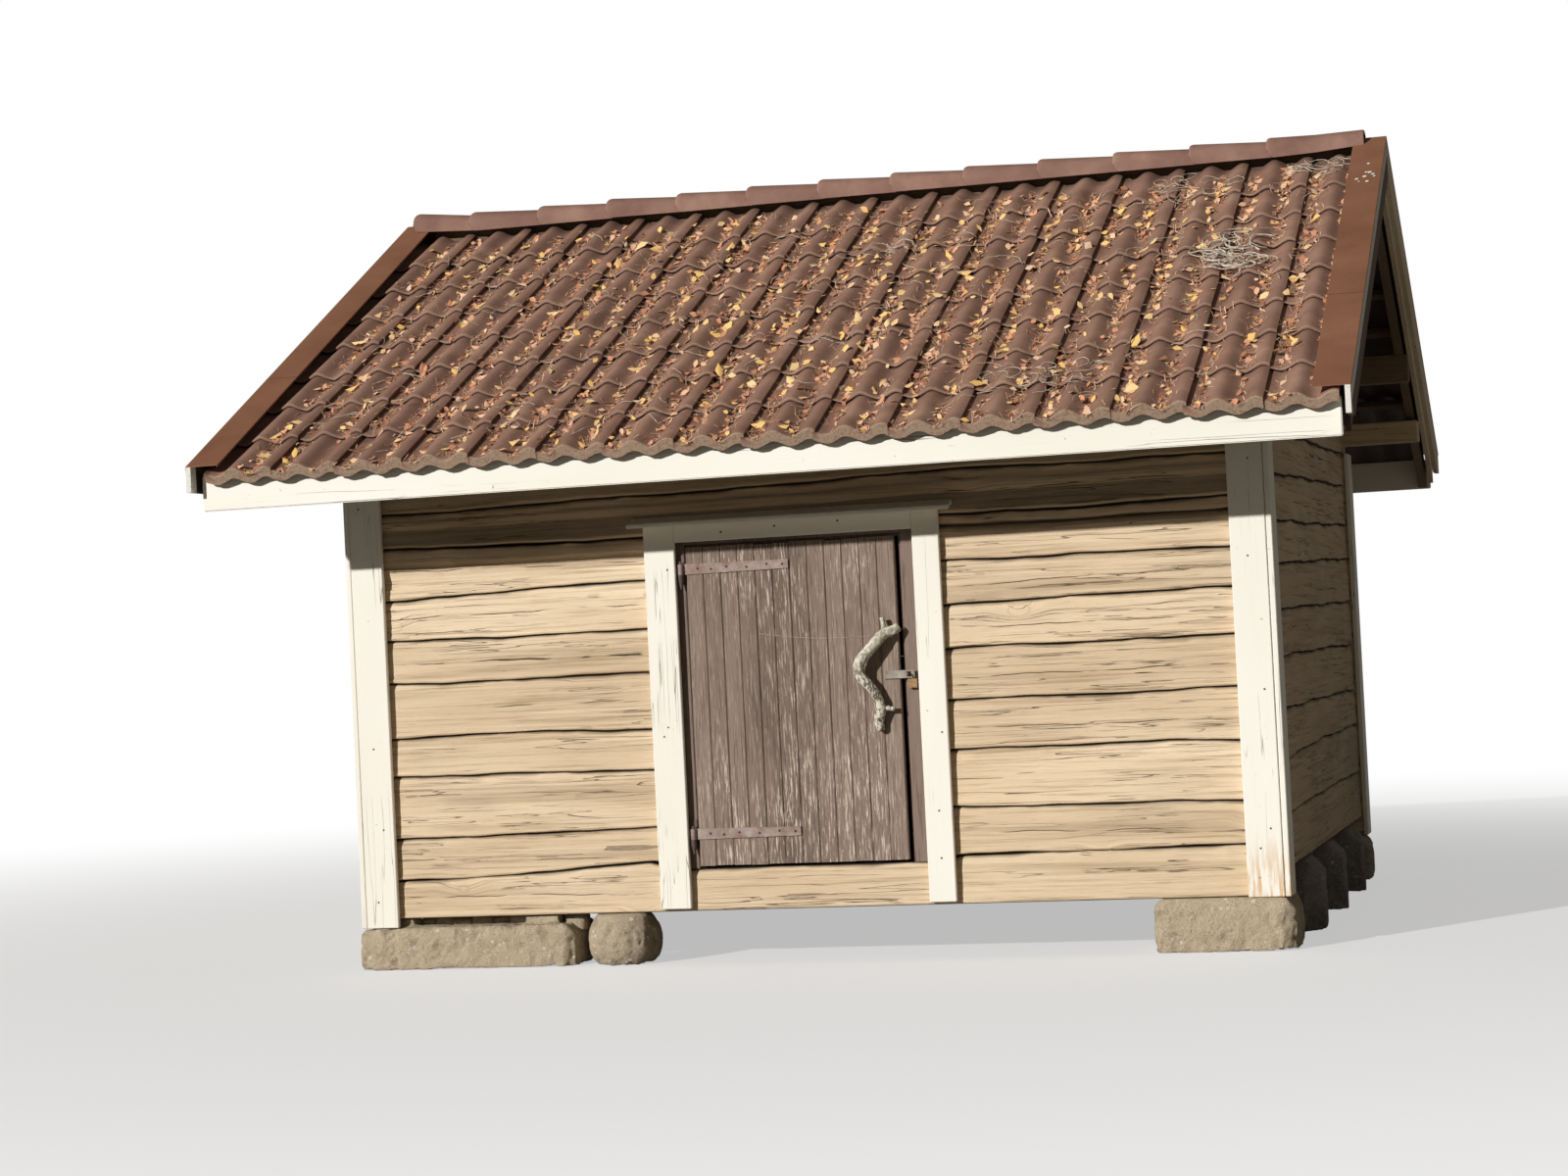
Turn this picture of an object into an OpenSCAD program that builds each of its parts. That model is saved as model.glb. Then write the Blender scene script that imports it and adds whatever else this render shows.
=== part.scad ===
// Small storage shed of hewn logs on loose foundation stones, with a rolled-tile saddle roof,
// boxed corners, a framed board door on strap hinges and a crooked branch as the door handle.
// X runs along the front from left to right, Y from front to rear, Z up from the ground.

/* [Foundation] */
// Height of the log walls above the ground
stone_height = 220; // [160:5:320]
// Length of the flat stone under the front left corner
long_stone_length = 1030; // [700:10:1300]
// Length of the squared stone under each other corner
corner_stone_length = 610; // [400:10:800]
// Depth of a corner stone from front to rear
corner_stone_depth = 420; // [300:10:600]
// Height of the wedges between the flat stone and the sill log
wedge_height = 35; // [20:1:60]
// Radius of the round boulder under the front wall
boulder_radius = 165; // [120:5:200]
// Length of a stone under a gable wall
gable_stone_length = 380; // [250:10:500]

/* [Log walls] */
// Length of the log walls along the front
wall_length = 4060; // [3600:10:4600]
// Depth of the log walls from front to rear
wall_depth = 3750; // [3300:10:4200]
// Thickness of a hewn wall log
log_thickness = 140; // [110:5:180]
// Mean height of one log course
course_height = 204; // [190:1:220]
// Depth of the joint groove between two logs
joint_depth = 12; // [6:1:20]

/* [Floor] */
// Thickness of the floor boards
floor_thickness = 32; // [22:1:45]
// Width and depth of a floor joist
joist_depth = 90; // [70:5:120]
// Greatest clear distance between two floor joists
joist_gap = 850; // [500:10:1000]

/* [Boards] */
// Thickness of corner boards and door trims
trim_thickness = 25; // [18:1:32]
// Width of a front or rear corner board
corner_board_width = 150; // [120:5:180]
// Length by which the front left corner board hangs below the logs
corner_board_drop = 35; // [0:1:60]

/* [Doorway] */
// Clear width between the door jambs
doorway_width = 957; // [900:1:1000]
// Sideways place of the doorway's middle
doorway_middle = -1; // [-60:1:60]
// Height of the head jamb above the door sill log
doorway_height = 1400; // [1360:1:1430]
// Width of a jamb seen from the front
jamb_width = 90; // [80:1:110]
// Width of the left door trim
left_trim_width = 138; // [110:1:150]
// Width of the right door trim
right_trim_width = 117; // [100:1:140]
// Height of the head trim board
head_trim_height = 89; // [70:1:110]
// Depth of the drip cap over the door
drip_cap_depth = 75; // [50:1:90]
// Setback of the jambs behind the front of the log wall
jamb_setback = 14; // [8:1:20]

/* [Door] */
// Gap between the leaf and the hinge jamb
hinge_gap = 5; // [5:0.5:8]
// Gap between the leaf and the latch jamb
latch_gap = 8; // [8:0.5:12]
// Gap above and below the leaf
leaf_end_gap = 10; // [6:1:14]
// Thickness of the door boards
leaf_thickness = 27; // [22:1:32]
// Number of boards in the door leaf
leaf_boards = 12; // [8:1:14]
// Length of a strap hinge from its eye
strap_length = 480; // [380:5:560]
// Height of a strap hinge at its eye
strap_height = 48; // [35:1:55]
// Height of a strap hinge at its free end
strap_end_height = 40; // [30:1:50]
// Thickness of a strap hinge
strap_thickness = 6; // [4:0.5:8]
// Diameter of the hinge pin
pin_diameter = 12; // [10:0.5:14]
// Distance of the upper strap below the leaf's upper edge
upper_strap_drop = 95; // [80:5:160]
// Height of the lower strap above the leaf's lower edge
lower_strap_height = 140; // [90:5:200]
// Thickness of the branch used as the handle
branch_diameter = 40; // [32:1:48]
// Height of the hasp above the leaf's lower edge
hasp_height = 788; // [740:2:840]
// Length of the hasp plate
hasp_length = 134; // [110:1:150]

/* [Roof] */
// Pitch of the roof in degrees
roof_pitch = 27.5; // [24:0.5:30]
// Reach of the tile edge beyond the front and rear log walls
eave_overhang = 745; // [600:5:850]
// Reach of the roof beyond the gable walls
verge_overhang = 435; // [380:5:500]
// Height of a rafter
rafter_height = 120; // [90:5:140]
// Width of a rafter
rafter_width = 45; // [36:1:60]
// Thickness of a tile batten
batten_thickness = 32; // [22:1:40]
// Distance between two tile courses
tile_gauge = 350; // [320:1:370]
// Length of a roof tile
tile_length = 420; // [400:1:430]
// Thickness of a roof tile
tile_thickness = 16; // [12:0.5:20]
// Height of the roll on a roof tile
tile_roll = 32; // [24:1:40]
// Cover width of a roof tile with its two rolls
tile_cover = 300; // [290:1:310]
// Height of the white fascia board
fascia_height = 150; // [120:5:170]
// Plumb depth of the upper bargeboard below the flashing
bargeboard_depth = 190; // [170:5:220]
// Plumb depth of the lower bargeboard below the flashing
lower_bargeboard_depth = 265; // [230:5:268]
// Width of the verge flashing
flashing_width = 150; // [120:5:180]
// Height of the verge flashing above the crests of the tiles
flashing_rise = 14; // [10:1:30]
// Length of a ridge tile
ridge_tile_length = 450; // [420:1:480]
// Exposed length of a ridge tile
ridge_tile_cover = 364.5; // [340:0.5:375]
// Width of the narrow end of a ridge tile
ridge_tile_width = 172; // [150:2:200]
// Distance of the middle purlins from the ridge
purlin_run = 1300; // [900:10:1400]
// Height of a purlin
purlin_depth = 110; // [90:5:130]

/* [Hidden] */

// Colours
log_colour = [0.74, 0.66, 0.51];
white_paint = [0.95, 0.93, 0.87];
door_brown = [0.40, 0.34, 0.29];
bare_wood = [0.47, 0.40, 0.33];
tile_brown = [0.36, 0.25, 0.22];
flashing_brown = [0.43, 0.26, 0.19];
stone_grey = [0.50, 0.48, 0.46];
iron_grey = [0.30, 0.27, 0.25];
bark_grey = [0.62, 0.60, 0.56];
brass_yellow = [0.72, 0.58, 0.28];

// Share of the mean course height that each log of the long walls takes, from the sill up
course_share = [0.90, 0.95, 1.25, 0.95, 1.10, 0.95, 0.95, 1.00, 1.00, 0.75, 0.76];
course_count = len(course_share);
function share_sum(n) = n <= 0 ? 0 : course_share[n - 1] + share_sum(n - 1);
// Height of the joint below log i of the long walls
function long_joint(i) = stone_height + course_height * share_sum(i);
// Height of the joint below log i of the gable walls, half a log higher
function gable_joint(i) =
    i < course_count ? (long_joint(i) + long_joint(i + 1)) / 2
    : gable_joint(course_count - 1) + course_height * (i - course_count + 1);
// Height at which a long log's end gives way to the end of the gable log above it
function lap_low(i) = (gable_joint(i) + long_joint(i + 1)) / 2;
// Height at which a gable log's end gives way to the end of the long log above it
function lap_high(i) = (long_joint(i + 1) + gable_joint(i + 1)) / 2;
// First joint of the long walls that leaves room for the head jamb
function joint_above(z, i) = long_joint(i) >= z || i == course_count - 1 ? i : joint_above(z, i + 1);
wall_top = long_joint(course_count);
sill_top = long_joint(1);
head_jamb_room = 40;
door_course = joint_above(sill_top + doorway_height + head_jamb_room, 1);
half_length = wall_length / 2;
half_depth = wall_depth / 2;

// Roof lines: s runs up the slope from the tile edge, n is square to the roof from the rafter top
birdsmouth = 25;
tile_lap_gap = 1;
tile_step = tile_thickness + tile_lap_gap;
tile_tilt = asin(tile_step / tile_gauge);
batten_width = 50;
nib_length = 10;
batten_place = tile_length - nib_length - batten_width;
seat_lift = (batten_place + batten_width) * sin(tile_tilt);
crest_rise = batten_thickness + seat_lift + tile_thickness + tile_roll;
edge_y = -(half_depth + eave_overhang) + crest_rise * sin(roof_pitch);
rafter_top_at_wall = wall_top - birdsmouth + rafter_height / cos(roof_pitch);
edge_z = rafter_top_at_wall + (edge_y + half_depth) * tan(roof_pitch);
slope_length = -edge_y / cos(roof_pitch);
tile_courses = floor((slope_length - tile_length) / tile_gauge) + 1;
ridge_rafter_z = edge_z - edge_y * tan(roof_pitch);
roof_half_width = half_length + verge_overhang;
verge_gap = 55;
tile_columns = floor(2 * (roof_half_width - verge_gap) / tile_cover);
tile_half_width = tile_columns * tile_cover / 2;

// Door places
jamb_left_x = doorway_middle - doorway_width / 2;
jamb_right_x = doorway_middle + doorway_width / 2;
wall_front_y = -half_depth;
trim_front_y = wall_front_y - trim_thickness;
trim_reveal = 36;
trim_reveal_right = 62;
leaf_left = jamb_left_x + hinge_gap;
leaf_right = jamb_right_x - latch_gap;
leaf_setback = 3;
leaf_front_y = wall_front_y + leaf_setback;
jamb_front_y = wall_front_y + jamb_setback;
leaf_back_y = leaf_front_y + leaf_thickness;
leaf_bottom = sill_top + leaf_end_gap;
head_jamb_z = sill_top + doorway_height;
leaf_top = head_jamb_z - leaf_end_gap;
ledge_thickness = 24;
stop_depth = 12;
stop_gap = 5;
eye_radius = pin_diameter / 2 + strap_thickness;
eye_gap = 8;
hinge_x = leaf_left - eye_gap - eye_radius;
hinge_y = leaf_front_y - eye_radius;
pin_clearance = 0.3;
upper_strap_z = leaf_top - upper_strap_drop;
lower_strap_z = leaf_bottom + lower_strap_height;
hasp_z = leaf_bottom + hasp_height;

// Moves children from slope places (x, s, n) of the front slope to the shed
module on_slope(s, n) {
    translate([0, edge_y + s * cos(roof_pitch) - n * sin(roof_pitch),
               edge_z + s * sin(roof_pitch) + n * cos(roof_pitch)])
        rotate([roof_pitch, 0, 0])
            children();
}

// Extrudes an outline drawn in (y, z) along x
module along_x(x0, x1) {
    translate([x0, 0, 0])
        rotate([90, 0, 90])
            linear_extrude(x1 - x0)
                children();
}

// Extrudes an outline drawn in (x, z) along y
module along_y(y0, y1) {
    translate([0, y1, 0])
        rotate([90, 0, 0])
            linear_extrude(y1 - y0)
                children();
}

module block(x0, x1, y0, y1, z0, z1) {
    translate([x0, y0, z0])
        cube([x1 - x0, y1 - y0, z1 - z0]);
}

// Outline of stacked hewn logs in (across, z): flat hewn faces that round off into the joints
joint_round = 22;
function log_side(z0, z1, across, sign) = [
    [across - sign * joint_depth, z0],
    [across, z0 + joint_round],
    [across, z1 - joint_round],
    [across - sign * joint_depth, z1]
];
function reversed(v) = [for (i = [len(v) - 1:-1:0]) v[i]];
module log_stack(joints, low, high) {
    last = len(joints) - 2;
    outer = [for (i = [0:last]) each log_side(joints[i], joints[i + 1], low, -1)];
    inner = [for (i = [0:last]) each log_side(joints[i], joints[i + 1], high, 1)];
    polygon(concat(outer, reversed(inner)));
}
function long_joints(first, last) = [for (i = [first:last]) long_joint(i)];
function gable_joints(first, last) = [for (i = [first:last]) gable_joint(i)];

module front_logs(x0, x1, first, last) {
    along_x(x0, x1)
        log_stack(long_joints(first, last), wall_front_y, wall_front_y + log_thickness);
}

// A split stone with broken edges that lies from (x0, y0) to (x1, y1) and has a flat top
module rough_stone(x0, x1, y0, y1, top) {
    chip = top * 0.16;
    intersection() {
        linear_extrude(top)
            polygon([[x0 + chip, y0], [x1 - 2 * chip, y0], [x1, y0 + 1.5 * chip],
                     [x1 - 0.4 * chip, y1 - chip], [x1 - 2 * chip, y1], [x0 + 1.6 * chip, y1],
                     [x0, y1 - 2 * chip], [x0 + 0.3 * chip, y0 + 1.2 * chip]]);
        along_y(y0, y1)
            polygon([[x0, 0], [x1, 0], [x1 - 0.3 * chip, top - 1.4 * chip], [x1 - 1.5 * chip, top],
                     [x0 + 1.2 * chip, top], [x0 + 0.2 * chip, top - chip]]);
        along_x(x0, x1)
            polygon([[y0, 0], [y1, 0], [y1 - 0.5 * chip, top - chip], [y1 - 1.4 * chip, top],
                     [y0 + chip, top], [y0 + 0.3 * chip, top - 1.2 * chip]]);
    }
}

// A round boulder with a flat bed for the log that it carries
module boulder(x, y, top) {
    bed_height = boulder_radius * 0.72;
    translate([x, y, 0])
        intersection() {
            translate([0, 0, top - bed_height])
                sphere(r = boulder_radius, $fn = 48);
            translate([-boulder_radius, -boulder_radius, 0])
                cube([2 * boulder_radius, 2 * boulder_radius, top]);
        }
}

module corner_stones() {
    reach = 50;
    wedge_length = 150;
    front = wall_front_y - reach;
    edge = half_length + reach;
    color(stone_grey) {
        rough_stone(-edge, -edge + long_stone_length, front, front + corner_stone_depth,
                    stone_height - wedge_height);
        for (x = [-half_length + reach, -edge + long_stone_length - wedge_length - 2 * reach])
            block(x, x + wedge_length, wall_front_y + wedge_height, wall_front_y + log_thickness,
                  stone_height - wedge_height, stone_height);
        rough_stone(edge - corner_stone_length, edge, front, front + corner_stone_depth, stone_height);
        for (side = [0, 1])
            mirror([side, 0, 0])
                rough_stone(edge - corner_stone_length, edge, half_depth + reach - corner_stone_depth,
                            half_depth + reach, stone_height);
    }
}

module wall_stones() {
    boulder_gap = 20;
    inset = 80;
    span = wall_depth - 2 * corner_stone_depth;
    color(stone_grey) {
        boulder(-half_length + long_stone_length + boulder_radius - boulder_gap,
                wall_front_y + log_thickness / 2, stone_height);
        for (side = [0, 1])
            mirror([side, 0, 0])
                for (i = [1:3])
                    rough_stone(half_length - log_thickness, half_length + inset,
                                -span / 2 + (i - 0.5) * span / 3 - gable_stone_length / 2,
                                -span / 2 + (i - 0.5) * span / 3 + gable_stone_length / 2, gable_joint(0));
        rough_stone(-corner_stone_length / 2, corner_stone_length / 2, half_depth - log_thickness - inset,
                    half_depth + inset, stone_height);
    }
}

module floor_joists() {
    inside_x = half_length - log_thickness;
    inside_y = half_depth - log_thickness;
    bays = ceil((2 * inside_y - joist_depth) / (joist_gap + joist_depth));
    pitch = (2 * inside_y - joist_depth) / bays;
    color(bare_wood)
        for (i = [0:bays])
            block(-inside_x, inside_x, -inside_y + i * pitch, -inside_y + i * pitch + joist_depth,
                  sill_top - floor_thickness - joist_depth, sill_top - floor_thickness);
}

module floor_boards() {
    inside_x = half_length - log_thickness;
    inside_y = half_depth - log_thickness;
    color(bare_wood)
        block(-inside_x, inside_x, -inside_y, inside_y, sill_top - floor_thickness, sill_top);
}

// Ends of the long logs in the right front corner, where they lap with the gable logs
module front_log_ends(first, last) {
    for (i = [first:last - 1])
        block(half_length - log_thickness, half_length, wall_front_y, wall_front_y + log_thickness,
              i == 0 ? stone_height : lap_high(i - 1), lap_low(i));
}

// The plate log runs on past the gable walls and carries the roof's edge
module plate_log_end() {
    block(half_length - log_thickness, purlin_end, wall_front_y, wall_front_y + log_thickness,
          lap_high(course_count - 2), wall_top);
}

bay_end = half_length - log_thickness;

module front_sill_log() {
    color(log_colour) {
        front_logs(-bay_end, bay_end, 0, 1);
        for (side = [0, 1])
            mirror([side, 0, 0])
                front_log_ends(0, 1);
    }
}

module front_wall_left() {
    color(log_colour) {
        front_logs(-bay_end, jamb_left_x - jamb_width, 1, door_course);
        mirror([1, 0, 0])
            front_log_ends(1, door_course);
    }
}

module front_wall_right() {
    color(log_colour) {
        front_logs(jamb_right_x + jamb_width, bay_end, 1, door_course);
        front_log_ends(1, door_course);
    }
}

module upper_front_logs(first) {
    front_logs(-bay_end, bay_end, first, course_count);
    for (side = [0, 1])
        mirror([side, 0, 0]) {
            front_log_ends(first, course_count - 1);
            plate_log_end();
        }
}

module front_wall_over_door() {
    color(log_colour)
        upper_front_logs(door_course);
}

bargeboard_thickness = 22;
flashing_thickness = 2;
lookout_end = roof_half_width - flashing_thickness - bargeboard_thickness;
purlin_end = lookout_end - bargeboard_thickness;

module rear_wall() {
    color(log_colour)
        mirror([0, 1, 0])
            upper_front_logs(0);
}

gable_courses = course_count + ceil((ridge_rafter_z - wall_top) / course_height);

// Height of a gable wall's top at a distance from the ridge, just below the tile battens
batten_gap = 1;
function gable_top_z(distance) = rafter_top_z(distance) - batten_gap;

// A gable wall closes up to the tile battens, with notches for the purlins
module gable_wall() {
    wall_end = half_depth - log_thickness;
    difference() {
        intersection() {
            along_y(-wall_end, wall_end)
                log_stack(gable_joints(0, gable_courses), bay_end, half_length);
            along_x(bay_end - log_thickness, half_length + log_thickness)
                polygon([
                    [-wall_end, 0], [wall_end, 0],
                    [wall_end, gable_top_z(wall_end)], [0, gable_top_z(0)], [-wall_end, gable_top_z(wall_end)]
                ]);
        }
        purlin_set();
    }
    for (side = [0, 1])
        mirror([0, side, 0])
            for (i = [0:course_count - 2])
                block(bay_end, half_length, wall_front_y, wall_front_y + log_thickness,
                      lap_low(i), lap_high(i));
}

// Height of the rafters' top at a distance from the ridge
function rafter_top_z(distance) = ridge_rafter_z - distance * tan(roof_pitch);

// Height of the rafters' underside at a distance from the ridge
function rafter_under_z(distance) = rafter_top_z(distance) - rafter_height / cos(roof_pitch);

module right_wall() {
    color(log_colour)
        gable_wall();
}

module left_wall() {
    color(log_colour)
        mirror([1, 0, 0])
            gable_wall();
}

corner_board_top = long_joint(course_count - 1);

module corner_boards(drop) {
    color(white_paint) {
        block(half_length - corner_board_width, half_length, trim_front_y, wall_front_y,
              stone_height - drop, corner_board_top);
        block(half_length, half_length + trim_thickness, trim_front_y, wall_front_y + corner_board_width,
              stone_height - drop, corner_board_top);
    }
}

module corner_boards_front_right() { corner_boards(0); }
module corner_boards_front_left() { mirror([1, 0, 0]) corner_boards(corner_board_drop); }
module corner_boards_rear_right() { mirror([0, 1, 0]) corner_boards(0); }
module corner_boards_rear_left() { mirror([1, 0, 0]) mirror([0, 1, 0]) corner_boards(0); }

jamb_back_y = wall_front_y + log_thickness;

module left_jamb() {
    color(door_brown)
        block(jamb_left_x - jamb_width, jamb_left_x, jamb_front_y, jamb_back_y, sill_top, head_jamb_z);
}

module right_jamb() {
    color(door_brown)
        block(jamb_right_x, jamb_right_x + jamb_width, jamb_front_y, jamb_back_y, sill_top, head_jamb_z);
}

module head_jamb() {
    color(door_brown)
        block(jamb_left_x - jamb_width, jamb_right_x + jamb_width, jamb_front_y, jamb_back_y,
              head_jamb_z, long_joint(door_course));
}

module door_stops() {
    stop_y = leaf_back_y + stop_gap;
    side_top = head_jamb_z - stop_depth;
    color(door_brown) {
        block(jamb_left_x, jamb_left_x + stop_depth, stop_y, jamb_back_y, sill_top, side_top);
        block(jamb_right_x - stop_depth, jamb_right_x, stop_y, jamb_back_y, sill_top, side_top);
        block(jamb_left_x, jamb_right_x, stop_y, jamb_back_y, side_top, head_jamb_z);
    }
}

trim_lift = 15;
head_trim_reveal = 12;
trim_bottom = stone_height + trim_lift;
head_trim_z = head_jamb_z + head_trim_reveal;
trim_top = head_trim_z + head_trim_height;
left_trim_edge = jamb_left_x - trim_reveal;
right_trim_edge = jamb_right_x + trim_reveal_right;

module door_trim_left() {
    color(white_paint)
        block(left_trim_edge - left_trim_width, left_trim_edge, trim_front_y, wall_front_y,
              trim_bottom, trim_top);
}

module door_trim_right() {
    color(white_paint)
        block(right_trim_edge, right_trim_edge + right_trim_width, trim_front_y, wall_front_y,
              trim_bottom, trim_top);
}

module door_head_trim() {
    color(white_paint)
        block(left_trim_edge, right_trim_edge, trim_front_y, wall_front_y, head_trim_z, trim_top);
}

module drip_cap() {
    cap_reach = 60;
    cap_thickness = 18;
    cap_fall = 30;
    // The board leans on the trims' upper front edge and rises to the wall
    low = trim_top - cap_fall * (1 - trim_thickness / drip_cap_depth);
    color(white_paint)
        along_x(left_trim_edge - left_trim_width - cap_reach, right_trim_edge + right_trim_width + cap_reach)
            polygon([
                [wall_front_y - drip_cap_depth, low],
                [trim_front_y, trim_top],
                [wall_front_y, trim_top],
                [wall_front_y, low + cap_fall + cap_thickness],
                [wall_front_y - drip_cap_depth, low + cap_thickness]
            ]);
}

// Outline of the leaf in (x, y) with a V groove at each joint of its boards
module door_leaf() {
    groove_half = 4;
    groove_depth = 5;
    board = (leaf_right - leaf_left) / leaf_boards;
    grooves = [for (i = [1:leaf_boards - 1]) each [
        [leaf_left + i * board - groove_half, leaf_front_y],
        [leaf_left + i * board, leaf_front_y + groove_depth],
        [leaf_left + i * board + groove_half, leaf_front_y]
    ]];
    color(door_brown)
        translate([0, 0, leaf_bottom])
            linear_extrude(leaf_top - leaf_bottom)
                polygon(concat([[leaf_left, leaf_front_y]], grooves,
                               [[leaf_right, leaf_front_y], [leaf_right, leaf_back_y],
                                [leaf_left, leaf_back_y]]));
}

module door_ledges() {
    ledge_inset = stop_depth + 10;
    ledge_half = 50;
    color(door_brown)
        for (z = [lower_strap_z, upper_strap_z])
            block(leaf_left + ledge_inset, leaf_right - ledge_inset,
                  leaf_back_y, leaf_back_y + ledge_thickness,
                  z - ledge_half, z + ledge_half);
}

module strap_hinge(z) {
    color(iron_grey)
        difference() {
            union() {
                along_y(leaf_front_y - strap_thickness, leaf_front_y)
                    polygon([
                        [hinge_x, z - strap_height / 2],
                        [hinge_x + strap_length, z - strap_end_height / 2],
                        [hinge_x + strap_length, z + strap_end_height / 2],
                        [hinge_x, z + strap_height / 2]
                    ]);
                translate([hinge_x, hinge_y, z - strap_height / 2])
                    cylinder(h = strap_height, r = eye_radius, $fn = 48);
            }
            translate([hinge_x, hinge_y, z - strap_height])
                cylinder(h = 2 * strap_height, r = pin_diameter / 2 + pin_clearance, $fn = 48);
        }
}

module upper_strap_hinge() { strap_hinge(upper_strap_z); }
module lower_strap_hinge() { strap_hinge(lower_strap_z); }

// Hooks on which the straps hang: a plate on the jamb, an arm, a shoulder, the pin and a tail
module hinge_pintles() {
    shoulder = 22;
    tail = 40;
    plate_thickness = 4;
    plate_reach = 40;
    arm_radius = 5;
    color(iron_grey)
        for (z = [lower_strap_z, upper_strap_z])
            translate([hinge_x, hinge_y, z - strap_height / 2 - pin_clearance]) {
                cylinder(h = strap_height + pin_diameter, r = pin_diameter / 2, $fn = 48);
                translate([0, 0, -shoulder])
                    cylinder(h = shoulder, r = eye_radius, $fn = 48);
                translate([0, 0, -shoulder - tail])
                    cylinder(h = tail, r1 = 3, r2 = eye_radius, $fn = 48);
                translate([0, 0, -shoulder / 2])
                    rotate([-90, 0, 0])
                        cylinder(h = jamb_front_y - hinge_y - plate_thickness, r = arm_radius, $fn = 32);
                translate([-eye_radius, jamb_front_y - hinge_y - plate_thickness, -plate_reach])
                    cube([2 * eye_radius, plate_thickness, strap_height + 2 * plate_reach]);
            }
}

// Bends of the crooked branch: x from the leaf's right edge, distance from the leaf's face,
// z from the leaf's lower edge and thickness as a share of the branch's
branch_bends = [
    [-4, 22, 992, 0.80], [-30, 28, 975, 0.85], [-70, 40, 962, 0.95], [-115, 52, 916, 1.00],
    [-168, 58, 857, 1.05], [-180, 58, 820, 1.05], [-172, 56, 786, 1.00], [-136, 50, 742, 0.95],
    [-105, 42, 688, 0.90], [-98, 34, 645, 1.10], [-110, 28, 598, 1.05], [-103, 22, 550, 0.85]
];
// Twig stubs: bend that each grows from, its end and its share of the branch's thickness
branch_stubs = [[2, [-72, 34, 1034], 0.38], [9, [-36, 30, 643], 0.45]];

function bend_place(b) = [leaf_right + b[0], leaf_front_y - b[1], leaf_bottom + b[2]];

// A round rod from a to b
module rod(a, b, ra, rb) {
    d = b - a;
    translate(a)
        rotate([0, acos(d[2] / norm(d)), atan2(d[1], d[0])])
            cylinder(h = norm(d), r1 = ra, r2 = rb, $fn = 24);
}

module branch_handle() {
    knuckle = 1.5;
    color(bark_grey) {
        for (i = [0:len(branch_bends) - 2]) {
            a = branch_bends[i];
            b = branch_bends[i + 1];
            rod(bend_place(a), bend_place(b), a[3] * branch_diameter / 2, b[3] * branch_diameter / 2);
            translate(bend_place(b))
                sphere(r = b[3] * branch_diameter / 2 + knuckle, $fn = 24);
        }
        for (stub = branch_stubs)
            rod(bend_place(branch_bends[stub[0]]), bend_place(stub[1]),
                stub[2] * branch_diameter / 2 + knuckle, stub[2] * branch_diameter / 2);
        for (i = [1, len(branch_bends) - 2])
            rod(bend_place(branch_bends[i]),
                bend_place([branch_bends[i][0], 0, branch_bends[i][2]]),
                branch_diameter / 3, branch_diameter / 3);
    }
}

// Hasp, staple and padlock. The plate reaches over the gap, and the staple stands in its slot.
hasp_half = 17;
hasp_pad = 5;
hasp_thickness = 4;
hasp_y = leaf_front_y - hasp_pad - hasp_thickness / 2;
staple_x = jamb_right_x + 17;
staple_half_width = 3;
staple_half_height = 6;
staple_clearance = 5;
shackle_hole = 4;
shackle_x = staple_x + staple_half_width + staple_clearance + 2 * shackle_hole;
shackle_z = hasp_z - hasp_half + 2.5 * shackle_hole;
hasp_end = shackle_x + 2 * shackle_hole + 1;

module hasp() {
    slot_half_width = staple_half_width + staple_clearance;
    slot_half_height = staple_half_height + staple_clearance;
    color(iron_grey) {
        block(hasp_end - hasp_length, leaf_right - 2 * hasp_pad, leaf_front_y - hasp_pad, leaf_front_y,
              hasp_z - hasp_half, hasp_z + hasp_half);
        difference() {
            block(hasp_end - hasp_length, hasp_end,
                  leaf_front_y - hasp_pad - hasp_thickness, leaf_front_y - hasp_pad,
                  hasp_z - hasp_half, hasp_z + hasp_half);
            block(staple_x - slot_half_width, staple_x + slot_half_width, hasp_y - hasp_thickness,
                  hasp_y + hasp_thickness, hasp_z - slot_half_height, hasp_z + slot_half_height);
            translate([shackle_x, hasp_y - hasp_thickness, shackle_z])
                rotate([-90, 0, 0])
                    cylinder(h = 2 * hasp_thickness, r = shackle_hole, $fn = 32);
        }
    }
}

module hasp_staple() {
    eye_y = hasp_y - hasp_thickness / 2 - 2 * staple_half_height;
    color(iron_grey)
        difference() {
            union() {
                block(staple_x - staple_half_width, staple_x + staple_half_width, eye_y, jamb_front_y,
                      hasp_z - staple_half_height, hasp_z + staple_half_height);
                translate([staple_x - staple_half_width, eye_y, hasp_z])
                    rotate([0, 90, 0])
                        cylinder(h = 2 * staple_half_width, r = staple_half_height, $fn = 32);
            }
            translate([staple_x - 2 * staple_half_width, eye_y, hasp_z])
                rotate([0, 90, 0])
                    cylinder(h = 4 * staple_half_width, r = staple_half_height / 2, $fn = 32);
        }
}

// The open padlock hangs from the hasp by its bow
module padlock() {
    bow_radius = 8;
    rod_radius = 2.5;
    leg = 6;
    body_width = 40;
    body_height = 38;
    body_depth = 18;
    body_top = shackle_z - bow_radius - leg;
    color(brass_yellow) {
        translate([shackle_x, hasp_y, shackle_z - bow_radius])
            rotate([90, 0, 90])
                rotate_extrude(angle = 180, $fn = 48)
                    translate([bow_radius, 0])
                        circle(r = rod_radius, $fn = 24);
        for (side = [-1, 1])
            translate([shackle_x, hasp_y + side * bow_radius, body_top])
                cylinder(h = leg, r = rod_radius, $fn = 24);
        block(shackle_x - body_width / 2, shackle_x + body_width / 2, hasp_y - body_depth / 2,
              hasp_y + body_depth / 2, body_top - body_height, body_top);
    }
}

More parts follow.
